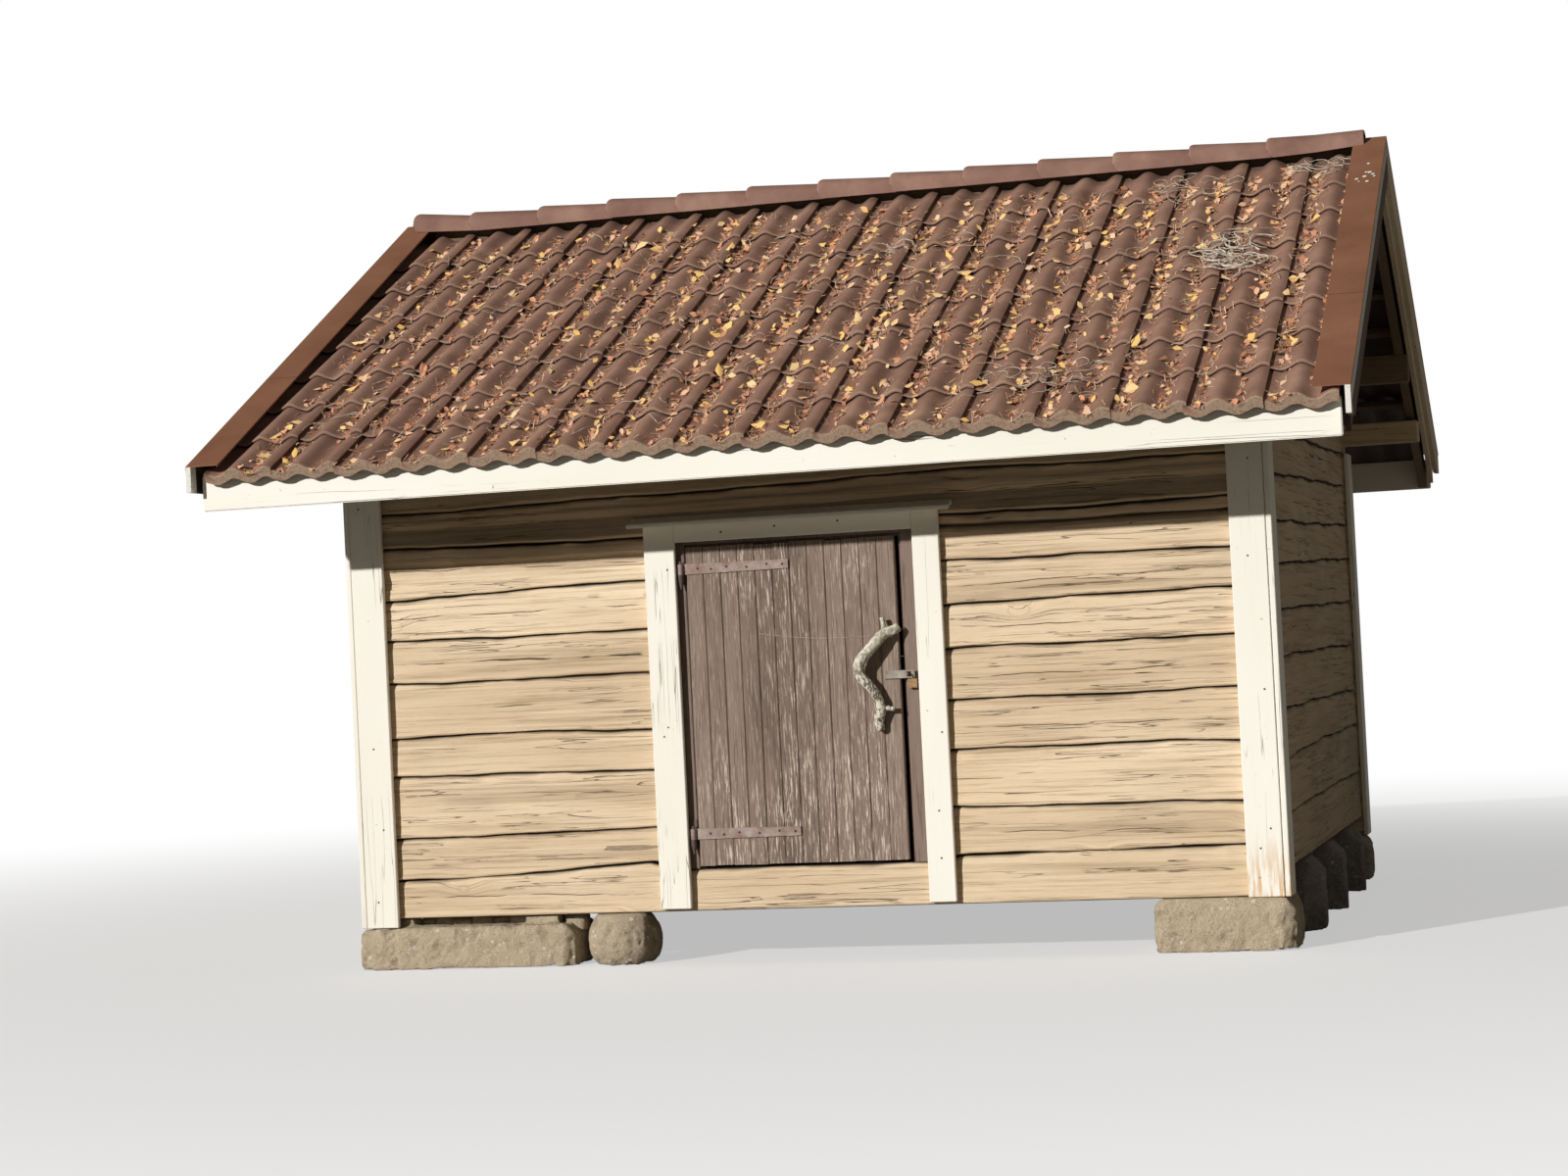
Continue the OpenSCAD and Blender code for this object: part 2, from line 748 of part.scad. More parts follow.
module purlin_set() {
    along_x(-purlin_end, purlin_end)
        polygon([
            [-purlin_depth / 2, rafter_under_z(0) - purlin_depth],
            [purlin_depth / 2, rafter_under_z(0) - purlin_depth],
            [purlin_depth / 2, rafter_under_z(purlin_depth / 2)],
            [0, rafter_under_z(0)],
            [-purlin_depth / 2, rafter_under_z(purlin_depth / 2)]
        ]);
    for (side = [0, 1])
        mirror([0, side, 0])
            along_x(-purlin_end, purlin_end)
                polygon([
                    [-purlin_run - purlin_depth / 2, rafter_under_z(purlin_run) - purlin_depth],
                    [-purlin_run + purlin_depth / 2, rafter_under_z(purlin_run) - purlin_depth],
                    [-purlin_run + purlin_depth / 2, rafter_under_z(purlin_run - purlin_depth / 2)],
                    [-purlin_run - purlin_depth / 2, rafter_under_z(purlin_run + purlin_depth / 2)]
                ]);
}

module purlins() {
    color(bare_wood)
        purlin_set();
}

rafter_pairs = 6;
rafter_inset = 40;
fascia_thickness = 22;
fascia_setback = 38;
fascia_y = edge_y + fascia_setback;

module rafters() {
    outer_rafter = lookout_end - rafter_inset - rafter_width / 2;
    tail_y = fascia_y + fascia_thickness;
    for (i = [0:rafter_pairs - 1]) {
        x = -outer_rafter + i * 2 * outer_rafter / (rafter_pairs - 1);
        difference() {
            along_x(x - rafter_width / 2, x + rafter_width / 2)
                polygon([
                    [tail_y, rafter_under_z(-tail_y)], [0, rafter_under_z(0)],
                    [0, rafter_top_z(0)], [tail_y, rafter_top_z(-tail_y)]
                ]);
            block(x - rafter_width, x + rafter_width, wall_front_y, wall_front_y + log_thickness,
                  wall_top - rafter_height, wall_top);
        }
    }
}

module rafters_front() { color(bare_wood) rafters(); }
module rafters_rear() { color(bare_wood) mirror([0, 1, 0]) rafters(); }

ridge_board_thickness = 40;
ridge_board_inset = 5;
ridge_board_end = roof_half_width - flashing_width - ridge_board_inset;
ridge_board_peak = 6;

// Tile battens and the upright board that carries the ridge tiles
module battens() {
    half = ridge_board_thickness / 2;
    color(bare_wood) {
        for (side = [0, 1])
            mirror([0, side, 0])
                for (i = [0:tile_courses - 1])
                    on_slope(i * tile_gauge + batten_place, 0)
                        block(-lookout_end, lookout_end, 0, batten_width, 0, batten_thickness);
        along_x(-ridge_board_end, ridge_board_end)
            polygon([
                [-half, rafter_top_z(half)], [0, rafter_top_z(0)], [half, rafter_top_z(half)],
                [half, ridge_tile_under_z - ridge_board_peak], [0, ridge_tile_under_z],
                [-half, ridge_tile_under_z - ridge_board_peak]
            ]);
    }
}

// Surface line of a tile course in (x, n): smooth rolls that swing like a wave, two to a tile,
// with a crest where two tiles meet
wave_steps = 6;
function wave(k) = tile_roll * (1 + cos(360 * k / wave_steps)) / 2;
function tile_line(base) = [
    for (k = [0:2 * tile_columns * wave_steps])
        [-tile_half_width + k * tile_cover / (2 * wave_steps), base + wave(k)]
];

// Each course lies with its head on a batten and its tail on the course below
module tile_slope() {
    for (i = [0:tile_courses - 1])
        on_slope(i * tile_gauge, batten_thickness + seat_lift)
            rotate([-tile_tilt, 0, 0])
                translate([0, tile_length, 0])
                    rotate([90, 0, 0])
                        linear_extrude(tile_length)
                            polygon(concat(tile_line(tile_thickness), reversed(tile_line(0))));
}

module front_tiles() { color(tile_brown) tile_slope(); }
module rear_tiles() { color(tile_brown) mirror([0, 1, 0]) tile_slope(); }

// Height of the underside of the verge flashing at a distance from the ridge
function verge_line(distance) =
    rafter_top_z(distance) + (crest_rise + flashing_rise) / cos(roof_pitch);

// Ridge tiles: tapered saddles whose wide left end covers the narrow end of the next one
ridge_tile_wall = 10;
ridge_tile_height = 92;
ridge_taper = 0.19;
ridge_tile_foot_z = verge_line(ridge_tile_width / 2) + flashing_thickness;
ridge_tile_under_z = ridge_tile_foot_z + ridge_tile_height - ridge_tile_wall;
ridge_right_inset = 100;
ridge_left_inset = 66;
ridge_tile_right = roof_half_width - ridge_right_inset;
ridge_tile_left = -(roof_half_width - ridge_left_inset);
ridge_tile_count = ceil((ridge_tile_right - ridge_tile_length - ridge_tile_left) / ridge_tile_cover) + 1;

// Half of a ridge tile's section in (across, up): a side that leans in, then a rounded top
saddle_lean = 6;
saddle_side_height = ridge_tile_height * 0.4;
saddle_top_height = ridge_tile_height - saddle_side_height;
function saddle_side(inset) = [
    [ridge_tile_width / 2 - inset, inset * tan(roof_pitch)],
    for (a = [0:22.5:90])
        [(ridge_tile_width / 2 - saddle_lean - inset) * cos(a),
         saddle_side_height + (saddle_top_height - inset) * sin(a)]
];
function mirrored(v) = [for (p = reversed(v)) [-p[0], p[1]]];
function saddle(inset) = concat(saddle_side(inset), mirrored(saddle_side(inset)));

module ridge_tile(right, length) {
    translate([right, 0, ridge_tile_foot_z])
        rotate([90, 0, -90])
            linear_extrude(length, scale = 1 + ridge_taper * length / ridge_tile_length)
                polygon(concat(saddle(0), reversed(saddle(ridge_tile_wall))));
}

module ridge_tiles() {
    color(tile_brown)
        for (i = [0:ridge_tile_count - 1]) {
            right = ridge_tile_right - i * ridge_tile_cover;
            ridge_tile(right, min(ridge_tile_length, right - ridge_tile_left));
        }
}

// Height of the underside of the lowest tile course at y on the front slope
function tile_under_z(y) =
    edge_z + (batten_thickness + seat_lift) * cos(roof_pitch)
    + (y - edge_y + (batten_thickness + seat_lift) * sin(roof_pitch)) * tan(roof_pitch - tile_tilt);

module fascia() {
    along_x(-fascia_end, fascia_end)
        polygon([
            [fascia_y, tile_under_z(fascia_y) - fascia_height],
            [fascia_y + fascia_thickness, tile_under_z(fascia_y) - fascia_height],
            [fascia_y + fascia_thickness, tile_under_z(fascia_y + fascia_thickness)],
            [fascia_y, tile_under_z(fascia_y)]
        ]);
}
fascia_reach = 20;
fascia_end = tile_half_width + fascia_reach;

module front_fascia() { color(white_paint) fascia(); }
module rear_fascia() { color(white_paint) mirror([0, 1, 0]) fascia(); }

// Lower end of the bargeboards and flashings, just short of the tile edge
verge_setback = 20;
verge_end_y = -(half_depth + eave_overhang) + verge_setback;
ridge_joint = 0.5;

// A band that follows the verge in (y, z) from the ridge down, between two depths below the flashing
module verge_band(top, bottom, end_y) {
    polygon([
        [end_y, verge_line(-end_y) - bottom], [ridge_joint, verge_line(0) - bottom],
        [ridge_joint, verge_line(0) - top], [end_y, verge_line(-end_y) - top]
    ]);
}

// An upper board with its lower end cut level, and behind it a lower board under the battens' ends
module bargeboard_pair() {
    end_height = 108;
    lower_board_top = (crest_rise + flashing_rise) / cos(roof_pitch) + 2;
    lower_board_setback = 190;
    cut_y = verge_end_y + (bargeboard_depth - end_height) / tan(roof_pitch);
    cut_z = verge_line(-verge_end_y) - end_height;
    for (side = [0, 1])
        mirror([0, side, 0]) {
            along_x(lookout_end, lookout_end + bargeboard_thickness)
                polygon([
                    [verge_end_y, cut_z], [cut_y, cut_z],
                    [ridge_joint, verge_line(0) - bargeboard_depth], [ridge_joint, verge_line(0)],
                    [verge_end_y, verge_line(-verge_end_y)]
                ]);
            along_x(lookout_end - bargeboard_thickness, lookout_end)
                verge_band(lower_board_top, lower_bargeboard_depth, verge_end_y + lower_board_setback);
        }
}

module right_bargeboards() { color(bare_wood) bargeboard_pair(); }
module left_bargeboards() { color(bare_wood) mirror([1, 0, 0]) bargeboard_pair(); }

// Folded sheet metal: a flat top with a short inner edge and a deeper outer edge turned down
module verge_flashing() {
    inner_drop = flashing_rise * 0.45;
    outer_drop = 12;
    for (side = [0, 1])
        mirror([0, side, 0]) {
            along_x(roof_half_width - flashing_width, roof_half_width)
                verge_band(-flashing_thickness, 0, verge_end_y);
            along_x(roof_half_width - flashing_width, roof_half_width - flashing_width + flashing_thickness)
                verge_band(-flashing_thickness, inner_drop, verge_end_y);
            along_x(roof_half_width - flashing_thickness, roof_half_width)
                verge_band(-flashing_thickness, outer_drop, verge_end_y);
        }
}

module right_verge_flashing() { color(flashing_brown) verge_flashing(); }
module left_verge_flashing() { color(flashing_brown) mirror([1, 0, 0]) verge_flashing(); }

corner_stones();
wall_stones();
floor_joists();
floor_boards();
front_sill_log();
front_wall_left();
front_wall_right();
front_wall_over_door();
rear_wall();
left_wall();
right_wall();
corner_boards_front_left();
corner_boards_front_right();
corner_boards_rear_left();
corner_boards_rear_right();
left_jamb();
right_jamb();
head_jamb();
door_stops();
door_trim_left();
door_trim_right();
door_head_trim();
drip_cap();
door_leaf();
door_ledges();
upper_strap_hinge();
lower_strap_hinge();
hinge_pintles();
branch_handle();
hasp();
padlock();
hasp_staple();
purlins();
rafters_front();
rafters_rear();
battens();
front_tiles();
rear_tiles();
ridge_tiles();
front_fascia();
rear_fascia();
left_bargeboards();
right_bargeboards();
left_verge_flashing();
right_verge_flashing();
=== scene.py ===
"""Looks of the log storage shed: hewn painted logs, white boards, a worn door and a rolled-tile roof."""

import math
import random

import bmesh
import bpy
import numpy as np
from mathutils import Matrix, Vector, noise


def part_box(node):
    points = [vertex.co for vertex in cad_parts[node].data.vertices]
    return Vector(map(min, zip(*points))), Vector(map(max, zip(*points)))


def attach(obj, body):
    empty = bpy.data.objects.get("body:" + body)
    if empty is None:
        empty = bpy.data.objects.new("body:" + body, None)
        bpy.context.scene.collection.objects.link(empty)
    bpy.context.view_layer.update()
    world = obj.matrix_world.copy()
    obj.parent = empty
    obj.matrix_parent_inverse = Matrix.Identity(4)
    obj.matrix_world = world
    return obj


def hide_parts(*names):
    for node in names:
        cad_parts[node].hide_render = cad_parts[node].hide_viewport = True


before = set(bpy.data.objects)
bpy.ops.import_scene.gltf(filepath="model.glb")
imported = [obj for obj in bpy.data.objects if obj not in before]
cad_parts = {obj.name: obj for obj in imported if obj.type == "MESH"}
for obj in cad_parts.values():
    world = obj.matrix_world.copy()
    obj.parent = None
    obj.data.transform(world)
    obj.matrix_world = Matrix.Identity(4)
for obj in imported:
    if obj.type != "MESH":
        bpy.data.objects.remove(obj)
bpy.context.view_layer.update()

# Places of the walls, in metres
HALF_LENGTH = 2.030
HALF_DEPTH = 1.875
LOG = 0.140
WALL_FOOT = 0.220
PLATE_TOP = 2.3742
JAMB_LEFT = -0.4795
JAMB_RIGHT = 0.4775
JAMB_WIDTH = 0.090
LOG_STEP = 0.030

# Joints between the logs: height at stations along the wall, from the sill log up
LEFT_BAY_X = (-1.90, -1.30, -0.68)
LEFT_BAY = (
    (0.388, 0.404, 0.440), (0.577, 0.580, 0.586), (0.852, 0.845, 0.842), (1.018, 1.026, 1.016),
    (1.262, 1.260, 1.260), (1.452, 1.450, 1.454), (1.634, 1.652, 1.661),
)
RIGHT_BAY_X = (0.64, 1.20, 1.87)
RIGHT_BAY = (
    (0.426, 0.432, 0.437), (0.635, 0.624, 0.619), (0.876, 0.875, 0.870), (1.086, 1.078, 1.092),
    (1.299, 1.304, 1.301), (1.480, 1.499, 1.498), (1.675, 1.669, 1.662),
)
UPPER_X = (-1.90, -0.68, 0.65, 1.87)
UPPER = ((1.862, 1.850, 1.866, 1.875), (2.016, 2.030, 2.057, 2.052), (2.205, 2.215, 2.222, 2.215))
# Painted shade on the three upper logs under the eave: darkness over each log's whole height
UPPER_PAINTED_SHADE = (0.52, 0.38, 0.32)
GABLE_Y = (-1.60, 0.0, 1.60)
GABLE = (
    (0.312, 0.312, 0.312), (0.540, 0.552, 0.556), (0.764, 0.795, 0.799), (0.975, 0.985, 0.981),
    (1.200, 1.214, 1.220), (1.400, 1.420, 1.445), (1.590, 1.630, 1.668), (1.777, 1.805, 1.845),
    (1.975, 2.015, 2.050), (2.160, 2.195, 2.220), (2.330, 2.335, 2.340), (2.500, 2.505, 2.500),
    (2.705, 2.710, 2.705), (2.910, 2.912, 2.908), (3.112, 3.115, 3.112), (3.318, 3.320, 3.318),
)
REAR_JOINTS = (
    0.220, 0.4036, 0.5974, 0.8524, 1.0462, 1.2706, 1.4644, 1.6582, 1.8622, 2.0662, 2.2192, PLATE_TOP,
)
# Long drying cracks on the front: first x, its z, last x, its z, depth
FRONT_CRACKS = (
    (-1.89, 1.552, -0.68, 1.560, 0.007), (-1.89, 1.352, -0.68, 1.336, 0.008),
    (-1.89, 0.992, -0.70, 0.996, 0.008), (-1.60, 1.140, -0.68, 1.150, 0.005),
    (-1.89, 0.318, -0.68, 0.302, 0.008), (-1.60, 0.700, -0.80, 0.690, 0.004),
    (-1.70, 0.480, -0.90, 0.520, 0.004), (-1.10, 1.235, -0.68, 1.226, 0.007),
    (0.66, 1.560, 1.86, 1.586, 0.007), (0.66, 1.390, 1.86, 1.378, 0.009), (0.66, 1.176, 1.86, 1.182, 0.009),
    (0.66, 0.961, 1.86, 0.956, 0.008), (0.65, 0.356, 1.86, 0.316, 0.007), (0.66, 1.778, 1.86, 1.774, 0.008),
    (0.80, 0.720, 1.70, 0.735, 0.004), (0.66, 0.520, 1.60, 0.512, 0.004), (-0.50, 0.372, 0.52, 0.366, 0.008),
    (0.66, 1.963, 1.86, 1.972, 0.008), (-1.89, 1.765, -0.68, 1.742, 0.006),
)

# Roof lines: s runs up the slope from the tile edge, n is square to the slope from the rafters' top
PITCH = math.radians(27.5)
EDGE_Y = -2.5739
EDGE_Z = 2.1207
GAUGE = 0.350
TILE_LENGTH = 0.420
TILE_SEAT = 0.0519
TILE_TILT = math.asin(0.017 / GAUGE)
TILE_THICKNESS = 0.014
TILE_ROLL = 0.032
TILE_COVER = 0.300
TILE_HALF_WIDTH = 2.400
TILE_COLUMNS = 16
TILE_COURSES = 8
JOINT_OFFSET = 0.027
EAVE_DRIP = 0.029
EAVE_BACK = 0.018
RAFTER_TOP_AT_RIDGE = 3.4606
VERGE_TOP = 3.5917
FLASHING_LAP = 1.75
LEAF_GAP = 0.015


# Small tools

def drift(seed, x, length, reach):
    """A line that wanders by up to reach over distances of about length."""
    rng = np.random.default_rng(seed)
    total = np.zeros_like(x)
    for share, rate in ((0.55, 1.0), (0.28, 2.3), (0.17, 5.3)):
        phase = rng.uniform(0, 2 * math.pi)
        turn = x * 2 * math.pi * rate / length
        total += share * np.sin(turn + phase + 0.9 * np.sin(0.37 * turn + 3 * phase))
    return reach * total


class Shape:
    """Points, faces and a tint per point of one piece."""

    def __init__(self):
        self.points = []
        self.faces = []
        self.tints = []
        self.marks = []

    def add(self, points, faces, tint=0.5, mark=0.0):
        first = len(self.points)
        self.points.extend(points)
        self.faces.extend([tuple(first + k for k in face) for face in faces])
        self.tints.extend(np.broadcast_to(tint, len(points)))
        self.marks.extend(np.broadcast_to(mark, len(points)))

    def loft(self, rings, tint=0.5, mark=0.0):
        """A closed skin over rings of points, with a flat face at both ends."""
        rings = np.asarray(rings, float)
        count, around = rings.shape[:2]
        faces = []
        for near in range(0, (count - 1) * around, around):
            far = near + around
            for k in range(around):
                after = (k + 1) % around
                faces.append((near + k, near + after, far + after, far + k))
        faces.append(tuple(range(around))[::-1])
        faces.append(tuple((count - 1) * around + k for k in range(around)))
        if np.ndim(mark) == 1:
            mark = np.repeat(mark, around)
        if np.ndim(mark) == 2:
            mark = np.reshape(mark, -1)
        self.add(rings.reshape(-1, 3).tolist(), faces, tint, mark)

    def disc(self, centre, across, up, radius, rise, tint=0.5, mark=0.0, sides=8):
        """A flat round head on a surface: across and up span the surface, rise stands off it."""
        centre, across, up = Vector(centre), Vector(across), Vector(up)
        out = across.cross(up) * rise
        rings = []
        for share, lift in ((1.0, -0.3), (1.0, 0.6), (0.6, 1.0)):
            ring = []
            for k in range(sides):
                turn = 2 * math.pi * k / sides
                way = across * math.cos(turn) + up * math.sin(turn)
                ring.append(centre + way * radius * share + out * lift)
            rings.append(ring)
        self.loft(rings, tint, mark)

    def build(self, name, material, node=None, slot=None, body="root", crease=35.0):
        mesh = bpy.data.meshes.new(name)
        mesh.from_pydata(self.points, [], self.faces)
        mesh.materials.append(material)
        for key, values in (("tint", self.tints), ("mark", self.marks)):
            layer = mesh.attributes.new(key, "FLOAT", "POINT")
            layer.data.foreach_set("value", np.asarray(values, np.float32))
        fix_faces(mesh)
        smooth(mesh, crease)
        place(add_object(name, mesh), body, node, slot)


def add_object(name, data):
    made = bpy.data.objects.new(name, data)
    bpy.context.scene.collection.objects.link(made)
    return made


def fix_faces(mesh):
    work = bmesh.new()
    work.from_mesh(mesh)
    bmesh.ops.recalc_face_normals(work, faces=work.faces)
    work.to_mesh(mesh)
    work.free()


def smooth(mesh, crease):
    mesh.polygons.foreach_set("use_smooth", [True] * len(mesh.polygons))
    mesh.set_sharp_from_angle(angle=math.radians(crease))
    mesh.update()


def place(obj, body, node, slot):
    """Puts a piece on its body, in the place of a CAD node where one is named."""
    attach(obj, body)
    if node:
        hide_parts(node)


# Turns between two faces: less than the first is flat, and more than the second is an edge
FLAT_TURN = 0.008
EDGE_TURN = math.radians(28)


def cad_mesh(node, material):
    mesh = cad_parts[node].data.copy()
    mesh.materials.clear()
    mesh.materials.append(material)
    return mesh


def eased_copy(node, material, slot, width, body):
    """A copy of a CAD node with its sharp edges eased, so that they catch the light."""
    mesh = cad_mesh(node, material)
    work = bmesh.new()
    work.from_mesh(mesh)
    bmesh.ops.remove_doubles(work, verts=work.verts, dist=1e-5)
    bmesh.ops.dissolve_limit(work, angle_limit=math.radians(1), verts=work.verts, edges=work.edges)
    if node in RESHAPED:
        for vertex in work.verts:
            vertex.co = RESHAPED[node](vertex.co)
    turns = {e: e.calc_face_angle() for e in work.edges if len(e.link_faces) == 2}
    for face in work.faces:
        face.smooth = any(FLAT_TURN < turns.get(e, 0.0) < EDGE_TURN for e in face.edges)
    sharp = [e for e, turn in turns.items() if turn > EDGE_TURN]
    made = bmesh.ops.bevel(work, geom=sharp, offset=width, segments=2, affect="EDGES", clamp_overlap=True)
    for face in made["faces"]:
        face.smooth = True
    work.to_mesh(mesh)
    work.free()
    if "custom_normal" in mesh.attributes:
        mesh.attributes.remove(mesh.attributes["custom_normal"])
    mesh.set_sharp_from_angle(angle=math.radians(40))
    place(add_object(node + "_look", mesh), body, node, slot)


# Materials

def rgb(red, green, blue):
    """A colour written as it is seen, as linear light."""
    values = []
    for channel in (red, green, blue):
        share = channel / 255
        values.append(share / 12.92 if share <= 0.04045 else ((share + 0.055) / 1.055) ** 2.4)
    return (*values, 1.0)


def put(socket, value):
    """Joins a socket to another, or sets it to a plain value."""
    if isinstance(value, bpy.types.NodeSocket):
        socket.id_data.links.new(value, socket)
    else:
        socket.default_value = value


def add_node(tree, kind, inputs, output=0, **settings):
    """The output of a new shader node, with its inputs set or joined."""
    made = tree.nodes.new("ShaderNode" + kind)
    for key, value in settings.items():
        setattr(made, key, value)
    for key, value in inputs.items():
        put(made.inputs[key], value)
    return made.outputs[output]


class Paint:
    """Builds one procedural material: coats of colour, one over the other, and bumps."""

    def __init__(self, name, axis=0, roughness=0.8, metallic=0.0, specular=0.3):
        self.material = bpy.data.materials.new(name)
        self.material.use_nodes = True
        self.tree = self.material.node_tree
        self.axis = axis
        self.shader = self.tree.nodes["Principled BSDF"].inputs
        self.shader["Roughness"].default_value = roughness
        self.shader["Metallic"].default_value = metallic
        self.shader["Specular IOR Level"].default_value = specular
        self.object_place = self.node("TexCoord", {}, "Object")
        self.place = self.object_place
        self.colour = None
        self.height = None

    def node(self, kind, inputs, output=0, **settings):
        return add_node(self.tree, kind, inputs, output, **settings)

    def stretched(self, along, shift=(0, 0, 0)):
        """Places with the texture drawn out along the grain, or by a scale for each axis."""
        if isinstance(along, tuple):
            scale = along
        else:
            scale = [along if k == self.axis else 1.0 for k in range(3)]
        return self.node("Mapping", {"Vector": self.place, "Scale": scale, "Location": shift})

    def noise(self, scale, along=1.0, detail=4.0, rough=0.55, shift=(0, 0, 0)):
        place = self.stretched(along, shift)
        return self.node("TexNoise", {"Vector": place, "Scale": scale, "Detail": detail, "Roughness": rough})

    def cells(self, scale, along=1.0):
        return self.node("TexVoronoi", {"Vector": self.stretched(along), "Scale": scale})

    def value(self, name):
        return self.node("Attribute", {}, "Fac", attribute_name=name)

    def coordinate(self, index):
        return self.node("SeparateXYZ", {0: self.place}, index)

    def math(self, operation, first, second=0.0, clamp=False):
        return self.node("Math", {0: first, 1: second}, operation=operation, use_clamp=clamp)

    def times(self, first, second):
        return self.math("MULTIPLY", first, second)

    def span(self, value, low, high, to_low=0.0, to_high=1.0):
        """Value from low to high, as a smooth step from to_low to to_high."""
        inputs = {"Value": value, "From Min": low, "From Max": high, "To Min": to_low, "To Max": to_high}
        return self.node("MapRange", inputs, interpolation_type="SMOOTHSTEP", clamp=True)

    def ramp(self, value, places, *colours):
        """Colours at their places on value."""
        made = self.node("ValToRGB", {"Fac": value}, "Color")
        elements = made.node.color_ramp.elements
        while len(elements) < len(colours):
            elements.new(0.5)
        for element, place_on_ramp, colour in zip(elements, places, colours):
            element.position = place_on_ramp
            element.color = rgb(*colour)
        return made

    def mix(self, share, first, second, blend="MIX"):
        return self.node("Mix", {0: share, 6: first, 7: second}, 2, data_type="RGBA", blend_type=blend)

    def over(self, share, colour):
        """Covers what is there by share."""
        self.colour = self.mix(share, self.colour, rgb(*colour))

    def coat(self, value, low, high, share, colour):
        """Covers what is there by up to share, where value passes from low to high."""
        self.over(self.span(value, low, high, 0.0, share), colour)

    def bend(self, index, offset):
        """Shifts the textures that follow by offset along one axis."""
        parts = [self.coordinate(k) for k in range(3)]
        parts[index] = self.math("ADD", parts[index], offset)
        self.place = self.node("CombineXYZ", dict(enumerate(parts)))

    def straight(self):
        """Ends the shift of bend."""
        self.place = self.object_place

    def lines(self, field, middle, width):
        """1 on the thin line where field passes middle, 0 away from it."""
        off = self.math("ABSOLUTE", self.math("SUBTRACT", field, middle))
        return self.span(off, 0.0, width, 1.0, 0.0)

    def cracks(self, scale, along, width, low, high, seed):
        """Thin broken lines that run with the grain."""
        field = self.noise(scale, along, rough=0.6, shift=(seed, 3 * seed, seed))
        where = self.span(self.noise(3.0, 0.45, 3, shift=(4 + seed, 2, 7)), low, high)
        return self.times(self.lines(field, 0.5, width), where)

    def bump(self, height, distance, strength=1.0):
        inputs = {"Strength": strength, "Distance": distance, "Height": height}
        if self.height is not None:
            inputs["Normal"] = self.height
        self.height = self.node("Bump", inputs)

    def finish(self):
        put(self.shader["Base Color"], self.colour)
        if self.height is not None:
            put(self.shader["Normal"], self.height)
        return self.material


def painted_log(name, axis, wear_and_painted_shade=1.0):
    """Sand-coloured paint on hewn wood: long cracks, fibres that bend round knots, grey patches of wear; a
    factor below 1 darkens it all as painted shade.
    """
    paint = Paint(name, axis, 0.85)
    tone = paint.noise(2.2, 0.35, 3)
    paint.colour = paint.ramp(tone, (0.25, 0.5, 0.75), (218, 194, 163), (235, 212, 181), (246, 226, 197))
    paint.coat(paint.value("tint"), 0.0, 1.0, 0.40, (196, 174, 144))
    knots = paint.cells(1.9, 0.55)
    paint.bend(2, paint.span(knots, 0.0, 0.16, 0.035, 0.0))
    fibre = paint.noise(60, 0.022, 6, 0.68)
    paint.coat(fibre, 0.50, 0.66, 0.62, (166, 143, 114))
    paint.coat(fibre, 0.46, 0.30, 0.55, (242, 225, 197))
    band = paint.noise(17, 0.03, 4, 0.6, (8, 1, 3))
    paint.coat(band, 0.52, 0.70, 0.50, (170, 147, 117))
    fine = paint.noise(240, 0.05, 3, 0.7)
    paint.coat(fine, 0.58, 0.75, 0.35, (138, 116, 88))
    cracks = paint.cracks(7.0, 0.030, 0.0024, 0.46, 0.58, 4)
    cracks = paint.math("MAXIMUM", cracks, paint.cracks(16.0, 0.022, 0.0038, 0.50, 0.60, 9))
    paint.over(paint.times(cracks, 0.60), (112, 92, 70))
    paint.over(paint.span(knots, 0.020, 0.055, 0.5, 0.0), (240, 218, 184))
    paint.over(paint.times(paint.lines(knots, 0.050, 0.010), 0.20), (150, 122, 92))
    paint.straight()
    paint.coat(paint.noise(1.5, 0.5, 3, shift=(2, 5, 9)), 0.56, 0.72, 0.55, (182, 168, 148))
    paint.coat(paint.noise(75, 0.35, 4, 0.7, (1, 1, 5)), 0.68, 0.74, 0.6, (146, 122, 96))
    # Painted shade: a factor below 1 darkens the whole colour, for the logs of the gables
    paint.colour = paint.mix(1.0, paint.colour, (wear_and_painted_shade, wear_and_painted_shade * 0.99, wear_and_painted_shade * 0.97, 1.0), "MULTIPLY")
    # mark paints the dark joint and crack lines, the painted shadow band under each joint and the painted
    # shade on the logs under the eave
    paint.coat(paint.value("mark"), 0.1, 0.9, 0.95, (40, 31, 23))
    paint.bump(fibre, 0.004, 0.9)
    paint.bump(band, 0.008, 0.7)
    paint.bump(fine, 0.0015, 0.8)
    paint.bump(paint.times(cracks, -1.0), 0.006)
    return paint.finish()


def white_board(name, axis, foot=None):
    """Cream-white painted board with fibre lines, hairline cracks and a few dark nail spots."""
    paint = Paint(name, axis, 0.6)
    tone = paint.noise(1.6, 0.4, 3)
    paint.colour = paint.ramp(tone, (0.3, 0.55, 0.8), (243, 238, 225), (249, 246, 236), (254, 252, 245))
    fibre = paint.noise(90, 0.02, 5, 0.7)
    paint.coat(fibre, 0.60, 0.78, 0.22, (205, 196, 176))
    where = paint.span(paint.noise(2.4, 0.5, shift=(3, 1, 6)), 0.53, 0.62)
    crack = paint.times(paint.lines(paint.noise(16, 0.03, 3, 0.6), 0.5, 0.006), where)
    paint.over(paint.times(crack, 0.7), (120, 106, 84))
    paint.coat(paint.noise(38, detail=2, shift=(5, 5, 5)), 0.74, 0.80, 0.6, (150, 134, 108))
    paint.coat(paint.value("mark"), 0.3, 1.0, 1.0, (86, 78, 66))
    if foot:
        low = paint.span(paint.coordinate(2), foot, foot + 0.32, 1.0, 0.0)
        rust = paint.span(paint.noise(60, 0.10, 5, shift=(1, 1, 1)), 0.42, 0.60, 0.0, 0.80)
        paint.over(paint.times(low, rust), (216, 166, 96))
    paint.bump(fibre, 0.0012, 0.7)
    paint.bump(paint.times(crack, -1.0), 0.002)
    return paint.finish()


